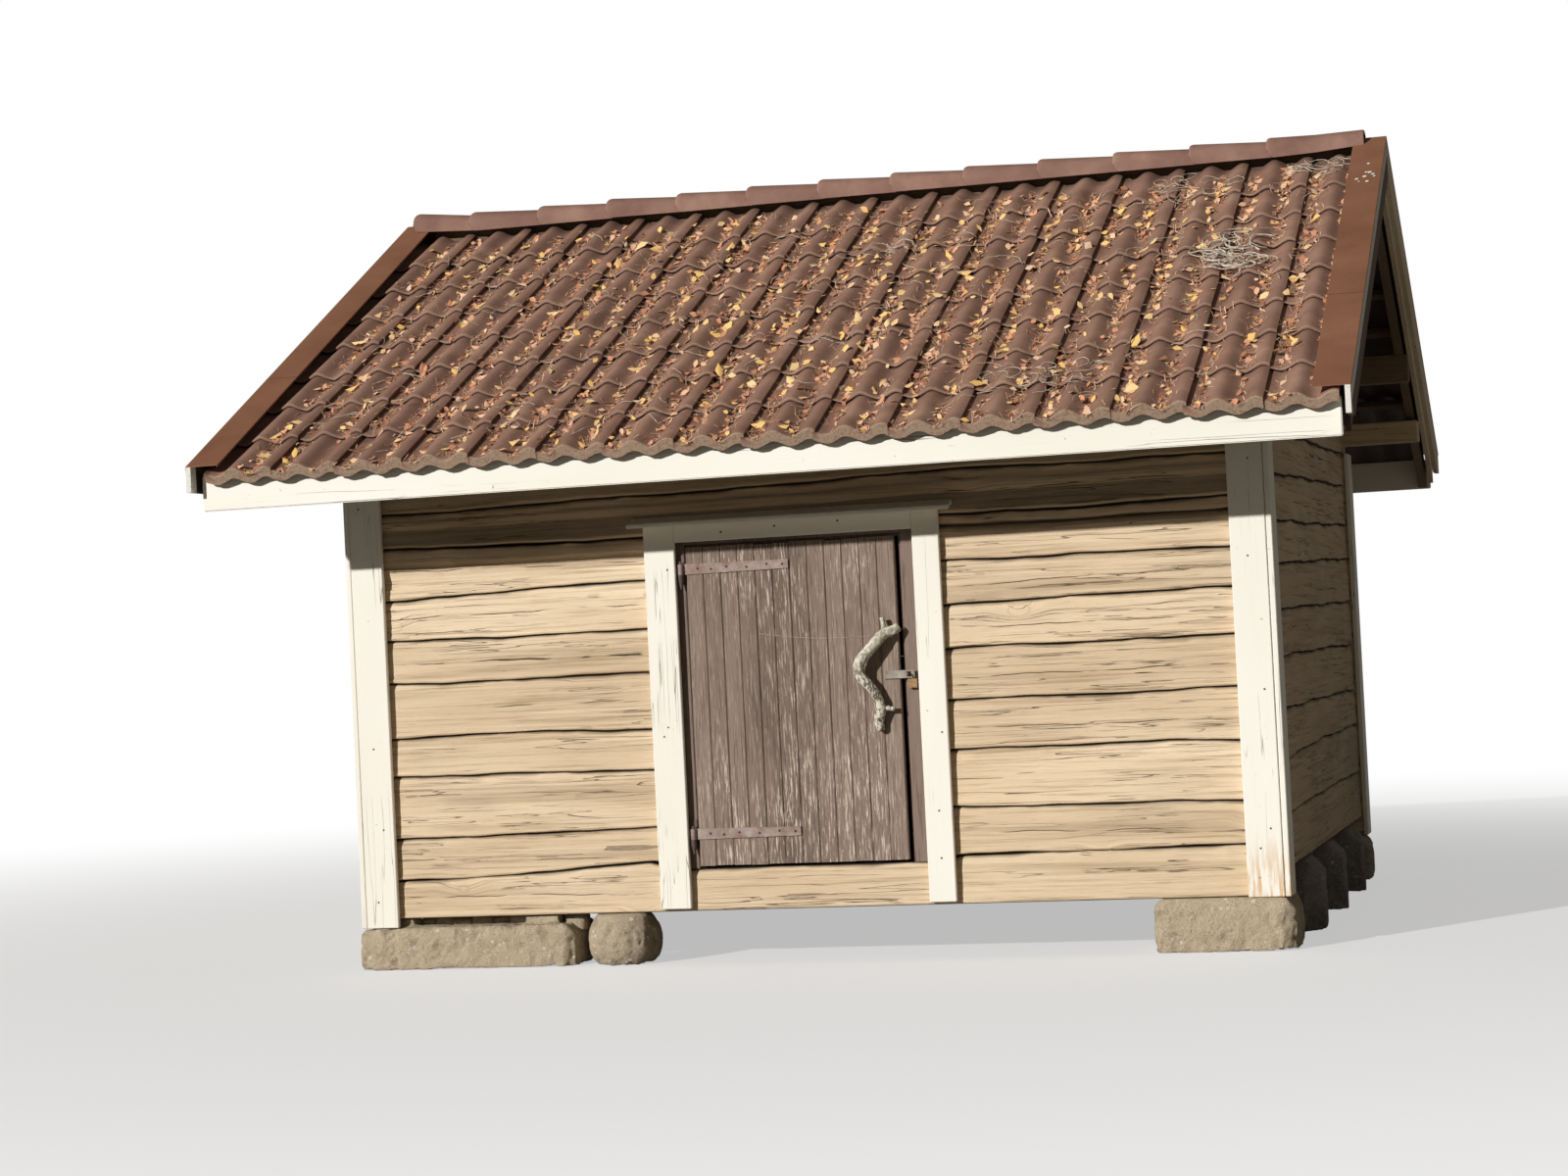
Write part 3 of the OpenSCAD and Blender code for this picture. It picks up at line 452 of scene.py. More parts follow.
def weathered_wood(name, axis, dark, middle, light, streak=0.5, wear_and_painted_shade=None):
    """Brown stained or bare wood with worn pale streaks along its grain."""
    paint = Paint(name, axis, 0.85)
    paint.colour = paint.ramp(paint.noise(3.0, 0.3), (0.3, 0.55, 0.85), dark, middle, middle)
    paint.coat(paint.value("tint"), 0.0, 1.0, 0.35, dark)
    fibre = paint.noise(120, 0.03, 6, 0.75)
    paint.coat(fibre, 0.54, 0.76, 0.75, (48, 38, 34))
    dash = paint.noise(190, 0.065, 4, 0.66, (2, 7, 4))
    patch = paint.noise(4.0, 0.35, 3, shift=(6, 6, 1))
    share = paint.math("ADD", patch, paint.span(paint.coordinate(2), *wear_and_painted_shade, 0.05, -0.03) if wear_and_painted_shade else 0.0)
    pale = paint.times(paint.span(dash, 0.51, 0.64), paint.span(share, 0.44, 0.66, 0.22, 1.0))
    paint.over(paint.times(pale, streak), light)
    paint.coat(paint.value("mark"), 0.2, 1.0, 0.8, light)
    paint.coat(paint.noise(165, 0.025, 4, 0.7, (9, 4, 2)), 0.54, 0.64, 0.5, (56, 46, 40))
    paint.bump(fibre, 0.002, 0.8)
    paint.bump(dash, 0.001, 0.6)
    return paint.finish()


def tile_concrete(name, dark, middle, light, rim):
    """Coloured concrete: fine sandy speckle, dusty patches and a paler broken rim."""
    paint = Paint(name, specular=0.35)
    paint.colour = paint.ramp(paint.noise(5.0), (0.3, 0.55, 0.8), dark, middle, light)
    paint.coat(paint.value("tint"), 0.0, 1.0, 0.35, dark)
    speckle = paint.noise(420, detail=3, rough=0.8)
    paint.coat(speckle, 0.56, 0.72, 0.5, light)
    paint.coat(speckle, 0.44, 0.30, 0.5, (52, 38, 34))
    broken = paint.noise(90, rough=0.7)
    mark = paint.value("mark")
    edge = paint.times(paint.span(mark, 0.1, 0.8), paint.span(broken, 0.40, 0.54, 0.15, 1.0))
    paint.over(edge, rim)
    # Negative marks are painted shade: under the tiles, in their joints and on their covered ends
    paint.coat(mark, -0.1, -1.0, 0.92, (40, 30, 26))
    paint.bump(speckle, 0.0012, 0.8)
    paint.bump(broken, 0.002, 0.5)
    return paint.finish()


def bargeboard_wood(name):
    """Weathered wood, dark on the front boards as painted shade and pale on the rear ones as painted light;
    the front boards' outer face has a strip of grey-white paint below the verge metal.
    """
    paint = Paint(name, 1)
    fibre = paint.noise(110, 0.04, 5, 0.7)
    tone = paint.noise(3.0, 0.3)
    # Painted light on the rear boards (near-white wood) and painted shade on the front boards (dark wood)
    front = paint.span(paint.coordinate(1), -0.01, 0.01, 1.0, 0.0)
    rear_wood_painted_light = paint.ramp(tone, (0.3, 0.6, 0.85), (206, 190, 164), (230, 216, 192), (244, 232, 212))
    dark = paint.ramp(tone, (0.3, 0.6, 0.85), (66, 52, 40), (84, 68, 54), (100, 84, 68))
    paint.colour = paint.mix(front, rear_wood_painted_light, dark)
    paint.coat(fibre, 0.54, 0.74, 0.6, (66, 54, 44))
    across, along = (paint.math("ABSOLUTE", paint.coordinate(k)) for k in (0, 1))
    fall = paint.times(along, math.tan(PITCH))
    below_top = paint.math("SUBTRACT", VERGE_TOP, paint.math("ADD", paint.coordinate(2), fall))
    strip = paint.times(paint.span(below_top, 0.085, 0.088, 1.0, 0.0), front)
    outer = paint.times(paint.span(across, 2.4600, 2.4615), strip)
    painted = paint.math("MAXIMUM", outer, paint.span(along, 2.548, 2.550))
    chips = paint.span(paint.noise(70, rough=0.7), 0.34, 0.40)
    white = paint.mix(paint.span(fibre, 0.6, 0.8, 0.0, 0.3), rgb(232, 230, 222), rgb(170, 160, 142))
    paint.colour = paint.mix(paint.times(painted, chips), paint.colour, white)
    paint.bump(fibre, 0.002, 0.7)
    return paint.finish()


def sheet_metal(name):
    """Red-brown painted sheet with faint scratches, dust and one lap line on each side."""
    paint = Paint(name, roughness=0.5, specular=0.4)
    tone = paint.noise(3.0)
    paint.colour = paint.ramp(tone, (0.3, 0.6, 0.85), (128, 85, 63), (144, 99, 74), (158, 114, 88))
    scratch = paint.noise(150, (1, 0.08, 0.08), 3, 0.7)
    paint.coat(scratch, 0.60, 0.75, 0.35, (164, 122, 98))
    paint.coat(paint.noise(40, detail=5, rough=0.7), 0.55, 0.75, 0.25, (96, 62, 48))
    lap = paint.lines(paint.math("ABSOLUTE", paint.coordinate(1)), FLASHING_LAP, 0.004)
    paint.over(paint.times(lap, 0.8), (48, 30, 24))
    paint.bump(scratch, 0.0006, 0.5)
    return paint.finish()


def field_stone(name, dark, light):
    """Granite: grain speckle, darker veins and pale lichen spots; paler where the front is weathered."""
    paint = Paint(name, roughness=0.9)
    paint.colour = paint.ramp(paint.noise(5.0, detail=6, rough=0.65), (0.3, 0.7), dark, light)
    paint.coat(paint.coordinate(1), -1.45, -1.55, 0.75, (218, 199, 168))
    speck = paint.noise(150, rough=0.8)
    paint.coat(speck, 0.54, 0.66, 0.75, (240, 230, 208))
    paint.coat(speck, 0.46, 0.32, 0.7, (120, 106, 88))
    some = paint.span(paint.noise(16, detail=2, shift=(7, 2, 1)), 0.50, 0.56, 0.0, 0.8)
    paint.over(paint.times(paint.span(paint.cells(26), 0.26, 0.16), some), (244, 238, 222))
    paint.coat(paint.noise(11, detail=5, rough=0.7, shift=(3, 3, 3)), 0.52, 0.66, 0.50, (150, 136, 116))
    paint.bump(paint.noise(26, detail=8, rough=0.75), 0.03, 0.9)
    paint.bump(speck, 0.0015, 0.7)
    return paint.finish()


def iron(name, middle, rust, thin_paint):
    """Wrought iron under thin brown paint, rubbed and rusty in spots."""
    paint = Paint(name, roughness=0.6, metallic=0.1, specular=0.4)
    tone = paint.noise(18, detail=5, rough=0.65)
    paint.colour = paint.ramp(tone, (0.32, 0.5, 0.7), rust, middle, thin_paint)
    spots = paint.noise(160, detail=3, rough=0.7)
    paint.coat(spots, 0.60, 0.70, 0.7, (70, 44, 34))
    paint.coat(paint.value("mark"), 0.3, 1.0, 0.9, (58, 44, 38))
    paint.bump(spots, 0.0008, 0.8)
    return paint.finish()


def bark(name):
    """Peeled grey-white branch, mottled brown and dark towards its lower end."""
    paint = Paint(name, 2)
    tone = paint.noise(28, 0.4, 5)
    paint.colour = paint.ramp(tone, (0.3, 0.5, 0.8), (190, 181, 160), (222, 215, 197), (240, 235, 221))
    low = paint.span(paint.coordinate(2), 1.36, 1.12, 0.45, 0.92)
    mottle = paint.span(paint.noise(95, 0.6, 4, 0.7), 0.49, 0.54)
    paint.over(paint.times(mottle, low), (74, 62, 52))
    paint.coat(paint.noise(16, detail=3, shift=(4, 1, 2)), 0.60, 0.70, 0.25, (150, 144, 100))
    paint.bump(paint.noise(140, 0.3, 5), 0.0025, 0.9)
    return paint.finish()


def leaf_litter(name):
    """Fallen birch leaves, from brown bits to bright yellow."""
    paint = Paint(name, roughness=0.7)
    paint.colour = paint.ramp(
        paint.value("tint"), (0.0, 0.25, 0.5, 0.72, 0.88, 1.0), (132, 94, 70), (190, 128, 98),
        (232, 168, 130), (238, 205, 174), (248, 202, 116), (252, 222, 166),
    )
    paint.coat(paint.noise(300, detail=2), 0.5, 0.7, 0.35, (150, 100, 64))
    return paint.finish()


def twig_wood(name):
    paint = Paint(name, roughness=0.85)
    paint.colour = paint.ramp(paint.noise(60, detail=3), (0.3, 0.7), (160, 148, 130), (232, 222, 206))
    return paint.finish()


def brass(name):
    paint = Paint(name, roughness=0.5, metallic=0.4, specular=0.5)
    tone = paint.noise(80)
    paint.colour = paint.ramp(tone, (0.3, 0.6, 0.8), (112, 88, 56), (150, 122, 82), (176, 150, 106))
    paint.coat(paint.value("mark"), 0.3, 1.0, 1.0, (52, 40, 34))
    paint.bump(paint.noise(220, detail=3), 0.0004, 0.5)
    return paint.finish()


LOG_X = painted_log("painted_log_front", 0)
# The gables' logs: the same paint, darker as painted shade
LOG_Y = painted_log("painted_log_gable", 1, 0.82)
WHITE_Z = white_board("white_board_upright", 2)
WHITE_FOOT = white_board("white_board_stained_foot", 2, WALL_FOOT)
WHITE_X = white_board("white_board_level", 0)
DOOR_WOOD = weathered_wood("door_boards_wood", 2, (112, 96, 86), (146, 127, 114), (224, 210, 192), 0.95,
                           wear_and_painted_shade=(0.42, 1.3))
JAMB_WOOD = weathered_wood("jamb_wood", 2, (112, 96, 88), (136, 118, 108), (176, 160, 144), 0.4)
BARE_X = weathered_wood("bare_timber_long", 0, (88, 72, 56), (120, 100, 78), (168, 150, 124), 0.35)
BARE_Y = weathered_wood("bare_timber_sloped", 1, (92, 76, 60), (126, 108, 86), (172, 156, 132), 0.35)
BARGEBOARD = bargeboard_wood("bargeboard_wood")
FLOOR_WOOD = weathered_wood("floor_wood", 1, (118, 100, 78), (148, 128, 102), (184, 166, 138), 0.35)
TILE = tile_concrete("roof_tile_concrete", (134, 101, 86), (160, 123, 105), (184, 148, 128), (172, 150, 128))
RIDGE = tile_concrete("ridge_tile_concrete", (126, 94, 82), (152, 116, 102), (176, 142, 126), (168, 142, 126))
FLASHING = sheet_metal("verge_metal_paint")
GREY_STONE = field_stone("grey_field_stone", (160, 150, 136), (206, 192, 168))
DARK_STONE = field_stone("dark_field_stone", (122, 116, 114), (172, 164, 158))
STRAP_IRON = iron("strap_iron", (150, 130, 122), (130, 100, 88), (172, 158, 150))
DARK_IRON = iron("dark_iron", (88, 72, 66), (84, 58, 48), (112, 98, 92))
HASP_IRON = iron("hasp_iron", (150, 140, 128), (126, 104, 88), (176, 168, 156))
BARK = bark("branch_bark_skin")
PALE_SCRATCH = twig_wood("pale_scratch")
LEAVES = leaf_litter("fallen_leaves")
TWIGS = twig_wood("grey_twigs")
BRASS = brass("padlock_brass")


# Hewn logs

LEAN = 0.007
# A log without painted shade
NO_PAINTED_SHADE = (0.0, 0.5)
# Rows across a crack: height from its middle, share of its depth, darkness
CRACK_ROWS = (
    (-0.006, 0.10, 0.0), (-0.0024, 0.30, 0.1), (0.0, 1.0, 1.0), (0.0020, 0.15, 0.1), (0.006, 0.0, 0.0),
)
# Rows of a log's rounded top: drop below the joint, depth behind the face, darkness: the dark joint line at
# the joint, and under it a painted shadow band cast by the log above
LOG_TOP = (
    (0.020, 0.009, 0.0), (0.013, 0.013, 0.36), (0.007, 0.017, 0.50), (0.0030, 0.021, 0.9), (0.0, 0.032, 1.0),
)


def log_rows(low, high, cracks, seed, x, lean, painted_shade):
    """Rows of one log's outer face from its foot up: height, depth behind the wall's face and darkness.

    lean is how far the face leans back, and the last argument the darkness of painted shade and the share of
    the height above which it lies.
    """
    face = 0.003 + 0.003 * (1 + drift(seed, x, 1.9, 1.0))
    tall = high - low
    wide = 0.80 + 0.60 * drift(seed + 17, x, 0.65, 1.0)
    out = [(low, face + 0.024, 1.0), (low + 0.0015, face + 0.010, 0.9), (low + 0.005, face + 0.003, 0.12),
           (low + 0.011, face, 0.0)]
    middle = []
    for k in range(7):
        rise = 0.10 + 0.13 * k
        depth = face + 0.0015 + lean * rise + drift(seed + 7 + k, x, 0.8, 0.0022)
        # Painted shade on the log's face above the given share of its height
        middle.append((low + tall * rise, depth, painted_shade[0] * (rise > painted_shade[1])))
    for z, depth in sorted(cracks, key=lambda crack: float(np.mean(crack[0]))):
        middle = [row for row in middle if abs(float(np.mean(row[0] - z))) > 0.012]
        for step, share, dark in CRACK_ROWS:
            middle.append((z + step, face + 0.004 + depth * share, dark * np.clip(depth / 0.003, 0, 1)))
    middle.sort(key=lambda row: float(np.mean(row[0])))
    out += [row for row in middle if np.all(row[0] > low + 0.012) and np.all(row[0] < high - 0.030)]
    for drop, inset, dark in LOG_TOP:
        out.append((high - 0.0005 - drop * wide, face + inset, dark))
    return out


def add_log(shape, x, low, high, cracks, seed, to_world, ends=None, lean=LEAN, painted_shade=NO_PAINTED_SHADE):
    """One closed log. to_world turns (x, depth, z) rows into points. ends limits x at a height."""
    rows = log_rows(low, high, cracks, seed, x, lean, painted_shade)
    back = LOG - 0.002
    inner = [(high - 0.001, np.full_like(x, back - 0.014), 0.3), (high - 0.02, np.full_like(x, back), 0.0),
             (low + 0.02, np.full_like(x, back), 0.0), (low + 0.001, np.full_like(x, back - 0.014), 0.3)]
    loop = rows + inner
    rings = np.zeros((len(x), len(loop), 3))
    marks = np.zeros((len(x), len(loop)))
    for k, (z, depth, mark) in enumerate(loop):
        along = x if ends is None else ends(x, z)
        rings[:, k] = to_world(along, depth, z)
        marks[:, k] = mark
    shape.loft(rings, float(np.random.default_rng(seed).uniform(0, 1)), marks)


def facing_y(side):
    """Puts rows (x, depth, z) on the front wall (-1) or the rear wall (1)."""
    return lambda x, depth, z: np.stack([-side * x, side * (HALF_DEPTH - depth), z], -1)


def facing_x(side):
    """Puts rows (y, depth, z) on the left gable (-1) or the right one (1)."""
    return lambda y, depth, z: np.stack([side * (HALF_LENGTH - depth), side * y, z], -1)


FRONT = facing_y(-1)
REAR = facing_y(1)


def stations(first, last, step=LOG_STEP):
    return np.linspace(first, last, max(2, int(round((last - first) / step)) + 1))


def joint_line(heights, places, x, seed):
    """Height of a joint along the wall, with its small waves."""
    return np.interp(x, places, heights) + drift(seed, x, 1.3, 0.006)


def cracks_between(low, high, x, table, seed):
    """Cracks of the table that lie on this log, as (height per station, depth per station)."""
    found = []
    for number, (x0, z0, x1, z1, depth) in enumerate(table):
        line = np.interp(x, (x0, x1), (z0, z1)) + drift(seed + 31 * number, x, 0.7, 0.006)
        fade = np.clip((x - x0) / 0.06, 0, 1) * np.clip((x1 - x) / 0.06, 0, 1)
        inside = fade > 0.01
        if not inside.any():
            continue
        middle = float(np.mean(line[inside]))
        if float(np.mean(low[inside])) + 0.022 < middle < float(np.mean(high[inside])) - 0.030:
            line = np.clip(line, low + 0.020, high - 0.030)
            broken = 0.55 + 0.45 * np.sin(drift(seed + 5 + number, x, 0.5, 3.0))
            found.append((line, depth * fade * broken))
    return found


def random_cracks(seed, first, last, low, high, count, deepest=0.009, lengths=(0.4, 1.6)):
    """Small cracks for the front, and made-up ones for the walls that the photograph doesn't show closely."""
    rng = random.Random(seed)
    table = []
    for _ in range(count):
        length = rng.uniform(*lengths)
        start = rng.uniform(first, last - length)
        z = rng.uniform(low, high)
        end_z = z + rng.uniform(-0.02, 0.02)
        table.append((start, z, start + length, end_z, deepest * rng.uniform(0.45, 1.0)))
    return table


def front_bay(name, first, last, joints, places, node):
    """The logs of one bay of the front wall."""
    shape = Shape()
    x = stations(first, last)
    small = random_cracks(int(first * 10), first, last, 0.3, 1.85, 46, 0.0024, (0.12, 0.75))
    table = FRONT_CRACKS + tuple(small)
    for i in range(len(joints) - 1):
        top = i == len(joints) - 2
        low = joint_line(joints[i], places, x, 100 + i)
        high = joint_line(joints[i + 1], places, x, 101 + i)
        # The top log of each bay leans back, and its upper part, above the edge of the eave's shadow, gets
        # painted shade
        add_log(shape, x, low, high, cracks_between(low, high, x, table, 40 + i), 300 + i + int(first * 10),
                FRONT, lean=0.036 if top else LEAN, painted_shade=(0.88, 0.7) if top else NO_PAINTED_SHADE)
    shape.build(name, LOG_X, node, "hewn_log")


def build_front_logs():
    end = HALF_LENGTH - 0.001
    inner_left = JAMB_LEFT - JAMB_WIDTH
    inner_right = JAMB_RIGHT + JAMB_WIDTH
    sill = Shape()
    x = stations(-end, end)
    places = (-1.90, -1.30, -0.70, -0.60, 0.60, 0.66, 1.20, 1.87)
    heights = (0.388, 0.404, 0.438, 0.4045, 0.4045, 0.426, 0.432, 0.437)
    low = np.full_like(x, WALL_FOOT + 0.001)
    high = np.interp(x, places, heights)
    add_log(sill, x, low, high, cracks_between(low, high, x, FRONT_CRACKS, 40), 300, FRONT)
    sill.build("front_sill_log_hewn", LOG_X, "front_sill_log", "hewn_log")
    left = LEFT_BAY + (UPPER[0][:1] + UPPER[0][1:2] * 2,)
    right = RIGHT_BAY + (UPPER[0][2:3] * 2 + UPPER[0][3:],)
    front_bay("front_logs_left", -end, inner_left, left, LEFT_BAY_X, "front_wall_left")
    front_bay("front_logs_right", inner_right, end, right, RIGHT_BAY_X, "front_wall_right")
    upper = Shape()
    joints = UPPER + ((PLATE_TOP,) * 4,)
    for i in range(3):
        low = joint_line(joints[i], UPPER_X, x, 107 + i)
        high = joint_line(joints[i + 1], UPPER_X, x, 108 + i) if i < 2 else np.full_like(x, PLATE_TOP)
        # The upper logs under the eave get painted shade over their whole height
        add_log(upper, x, low, high, cracks_between(low, high, x, FRONT_CRACKS, 60 + i), 320 + i, FRONT,
                painted_shade=(UPPER_PAINTED_SHADE[i], 0.0))
    add_lookouts(upper, -1)
    upper.build("front_logs_over_door", LOG_X, "front_wall_over_door", "hewn_log")


def add_lookouts(shape, side):
    """Ends of the plate log that run on past the gables to carry the roof."""
    reach = 2.418
    y0, y1 = side * (HALF_DEPTH - 0.004), side * (HALF_DEPTH - LOG + 0.004)
    for first, last in ((-reach, -HALF_LENGTH + 0.01), (HALF_LENGTH - 0.01, reach)):
        add_box(shape, (first, min(y0, y1), 2.262), (last, max(y0, y1), PLATE_TOP - 0.002), 0.006, tint=0.8)


def add_box(shape, low, high, ease, tint=0.5, mark=0.0, axis=0):
    """A board with eased edges between two corners, lofted along one axis."""
    low, high = np.asarray(low, float), np.asarray(high, float)
    others = [a for a in range(3) if a != axis]
    a0, a1 = low[others[0]], high[others[0]]
    b0, b1 = low[others[1]], high[others[1]]
    ease = min(ease, (a1 - a0) / 2.5, (b1 - b0) / 2.5, (high[axis] - low[axis]) / 2.5)
    rings = []
    start, end = low[axis], high[axis]
    for place_along, pull in ((start, ease), (start + ease, 0.0), (end - ease, 0.0), (end, ease)):
        ring = []
        for a, b in ((a0 + ease, b0), (a1 - ease, b0), (a1, b0 + ease), (a1, b1 - ease),
                     (a1 - ease, b1), (a0 + ease, b1), (a0, b1 - ease), (a0, b0 + ease)):
            point = [0.0, 0.0, 0.0]
            point[axis] = place_along
            point[others[0]] = min(max(a, a0 + pull), a1 - pull)
            point[others[1]] = min(max(b, b0 + pull), b1 - pull)
            ring.append(point)
        rings.append(ring)
    shape.loft(rings, tint, mark)


def build_rear_logs():
    shape = Shape()
    end = HALF_LENGTH - 0.001
    x = stations(-end, end, 0.045)
    table = random_cracks(11, -end, end, 0.3, 2.3, 26)
    lines = [z + drift(500 + i, x, 1.7, 0.010) for i, z in enumerate(REAR_JOINTS)]
    lines[0] = np.full_like(x, REAR_JOINTS[0] + 0.001)
    lines[-1] = np.full_like(x, PLATE_TOP)
    for i, (low, high) in enumerate(zip(lines, lines[1:])):
        add_log(shape, x, low, high, cracks_between(low, high, x, table, 70 + i), 520 + i, REAR)
    add_lookouts(shape, 1)
    shape.build("rear_logs", LOG_X, "rear_wall", "hewn_log")


def gable_ends(y, z):
    """Cuts a gable log's ends to the slope of the roof."""
    reach = (RAFTER_TOP_AT_RIDGE - 0.004 - z) / math.tan(PITCH)
    wall_end = HALF_DEPTH - 0.001
    limit = np.clip(reach, 0.004, wall_end)
    return y / wall_end * limit


def build_gable(side, to_world, seed):
    shape = Shape()
    end = HALF_DEPTH - 0.001
    y = stations(-end, end, 0.034)
    table = random_cracks(seed, -end, end, 0.35, 2.6, 64)
    lines = [joint_line(heights, GABLE_Y, y, seed + i) for i, heights in enumerate(GABLE)]
    lines[0] = np.full_like(y, GABLE[0][0] + 0.001)
    lines.append(np.full_like(y, RAFTER_TOP_AT_RIDGE - 0.006))
    for i, (low, high) in enumerate(zip(lines, lines[1:])):
        add_log(shape, y, low, high, cracks_between(low, high, y, table, seed + 50 + i), seed + 200 + i,
                to_world, gable_ends)
    shape.build(side + "_gable_logs", LOG_Y, side + "_wall", "hewn_log")


# Boards, door and fittings

def nail_spots(shape, y, spots, radius=0.0045, up=1):
    """Dark nail heads on a board's face at y, each at its (x, z)."""
    for x, z in spots:
        shape.disc((x, y, z), (1, 0, 0), (0, 0, up), radius, 0.0012, 0.5, 1.0)


def upright_board(node, material, spots=()):
    """A painted board that stands on the wall, with eased edges and nail heads."""
    low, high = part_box(node)
    shape = Shape()
    add_box(shape, low, high, 0.003, axis=2)
    nail_spots(shape, low.y, spots)
    shape.build(node + "_look", material, node, "white_board")


CORNER_WIDTH = 0.150
CORNER_THICKNESS = 0.025
CORNER_GAP = 0.0015


def corner_pair(node, side, end, material, spots=()):
    """The two boards that box a corner: a wide face board and the edge of the side board beside it."""
    low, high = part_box(node)
    shape = Shape()
    y_face = HALF_DEPTH + CORNER_THICKNESS
    face_board = ((HALF_LENGTH - CORNER_WIDTH, HALF_LENGTH - CORNER_GAP), (HALF_DEPTH, y_face))
    side_board = ((HALF_LENGTH + CORNER_GAP, HALF_LENGTH + CORNER_THICKNESS),
                  (HALF_DEPTH - CORNER_WIDTH, y_face - 0.002))
    for xs, ys in (face_board, side_board):
        x0, x1 = sorted(side * x for x in xs)
        y0, y1 = sorted(end * y for y in ys)
        add_box(shape, (x0, y0, low.z), (x1, y1, high.z), 0.003, axis=2)
    nail_spots(shape, end * y_face, spots, up=-end)
    shape.build(node + "_look", material, node, "white_board")


def build_trims():
    corner_pair("corner_boards_front_right", 1, -1, WHITE_FOOT,
                ((1.97, 2.02), (1.95, 1.62), (1.99, 1.07), (1.985, 0.50), (1.94, 0.42), (1.93, 0.30)))
    corner_pair("corner_boards_front_left", -1, -1, WHITE_Z,
                ((-1.98, 2.05), (-1.96, 0.98), (-1.93, 0.62), (-1.97, 0.30)))
    corner_pair("corner_boards_rear_right", 1, 1, WHITE_Z)
    corner_pair("corner_boards_rear_left", -1, 1, WHITE_Z)
    upright_board("door_trim_left", WHITE_Z, ((-0.58, 1.02), (-0.60, 0.98), (-0.55, 1.70)))
    upright_board("door_trim_right", WHITE_Z, ((0.60, 0.62), (0.60, 0.42), (0.63, 0.95)))
    low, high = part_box("door_head_trim")
    shape = Shape()
    add_box(shape, (low.x + 0.001, low.y, low.z), (high.x - 0.001, high.y, high.z), 0.003)
    nail_spots(shape, low.y, ((-0.06, 1.862), (0.22, 1.868), (-0.30, 1.85)), 0.005)
    shape.build("door_head_trim_look", WHITE_X, "door_head_trim", "white_board")


def build_door():
    """Twelve upright boards with V joints and ragged ends."""
    low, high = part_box("door_leaf")
    rng = random.Random(4)
    count = 12
    width = (high.x - LEAF_GAP - low.x) / count
    shape = Shape()
    chamfer = 0.0045
    for i in range(count):
        x0 = low.x + i * width + 0.0006
        x1 = low.x + (i + 1) * width - 0.0006
        front = low.y + rng.uniform(0.0, 0.0022)
        top = high.z - rng.uniform(0.0, 0.007)
        foot = low.z + rng.uniform(0.0, 0.004)
        z = np.linspace(foot, top, 24)
        wander = drift(900 + i, z, 0.9, 0.0008)
        rings = []
        for height, w in zip(z, wander):
            y = front + (0.0015 if height in (z[0], z[-1]) else 0.0)
            section = ((x0 + chamfer + w, y), (x1 - chamfer + w, y), (x1, front + chamfer), (x1, high.y),
                       (x0, high.y), (x0, front + chamfer))
            rings.append([(*spot, height) for spot in section])
        shape.loft(rings, rng.uniform(0, 1))
    shape.build("door_boards", DOOR_WOOD, "door_leaf", "brown_board", "door", 25)


def build_scratch():
    """A fine pale scratch that runs across the boards at mid height."""
    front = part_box("door_leaf")[0].y
    shape = Shape()
    path = [(-0.16 + 0.49 * t, front - 0.0002, 1.405 - 0.034 * t - 0.014 * math.sin(math.pi * t))
            for t in np.linspace(0, 1, 24)]
    add_rod(shape, path, [0.0006] * len(path), 6)
    shape.build("door_scratch", PALE_SCRATCH, body="door")


STRAP_FRONT = -1.878
STRAP_BACK = -1.8722
STRAP_START = -0.488
HINGE_EYE = (-0.4945, -1.884)
STRAP_NAILS = ((-0.42, 0.002), (-0.36, -0.004), (-0.29, 0.003), (-0.20, -0.003), (-0.11, 0.004), (-0.04, 0.0))


def build_straps():
    """Forged straps that narrow to their tip, with nail heads and an eye round the pin."""
    ease = 0.0015
    for which in ("upper", "lower"):
        node = which + "_strap_hinge"
        low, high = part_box(node)
        middle = (low.z + high.z) / 2
        shape = Shape()
        rings = []
        for x in np.linspace(STRAP_START, high.x, 26):
            half = 0.024 - 0.004 * (x - STRAP_START) / (high.x - STRAP_START)
            y = STRAP_FRONT + 0.0005
            rings.append([(x, y, middle - half + ease), (x, y, middle + half - ease),
                          (x, y + ease, middle + half), (x, STRAP_BACK, middle + half),
                          (x, STRAP_BACK, middle - half), (x, y + ease, middle - half)])
        shape.loft(rings)
        add_tube(shape, HINGE_EYE, low.z + 0.001, high.z - 0.001, 0.0064, 0.0118)
        for x, rise in STRAP_NAILS:
            shape.disc((x, STRAP_FRONT, middle + rise), (1, 0, 0), (0, 0, 1), 0.0055, 0.002, 0.5, 1.0)
        shape.build(which + "_strap_forged", STRAP_IRON, node, "wrought_iron", "door")


def add_tube(shape, centre, foot, top, inner, outer, sides=28):
    """An upright tube with thick walls round a centre in x and y."""
    rings = []
    for radius, height in ((outer, foot), (outer, top), (inner, top), (inner, foot)):
        for k in range(sides):
            turn = 2 * math.pi * k / sides
            rings.append((centre[0] + radius * math.cos(turn), centre[1] + radius * math.sin(turn), height))
    faces = []
    for i in range(4):
        for k in range(sides):
            j, after = (i + 1) % 4, (k + 1) % sides
            faces.append((i * sides + k, i * sides + after, j * sides + after, j * sides + k))
    shape.add(rings, faces)


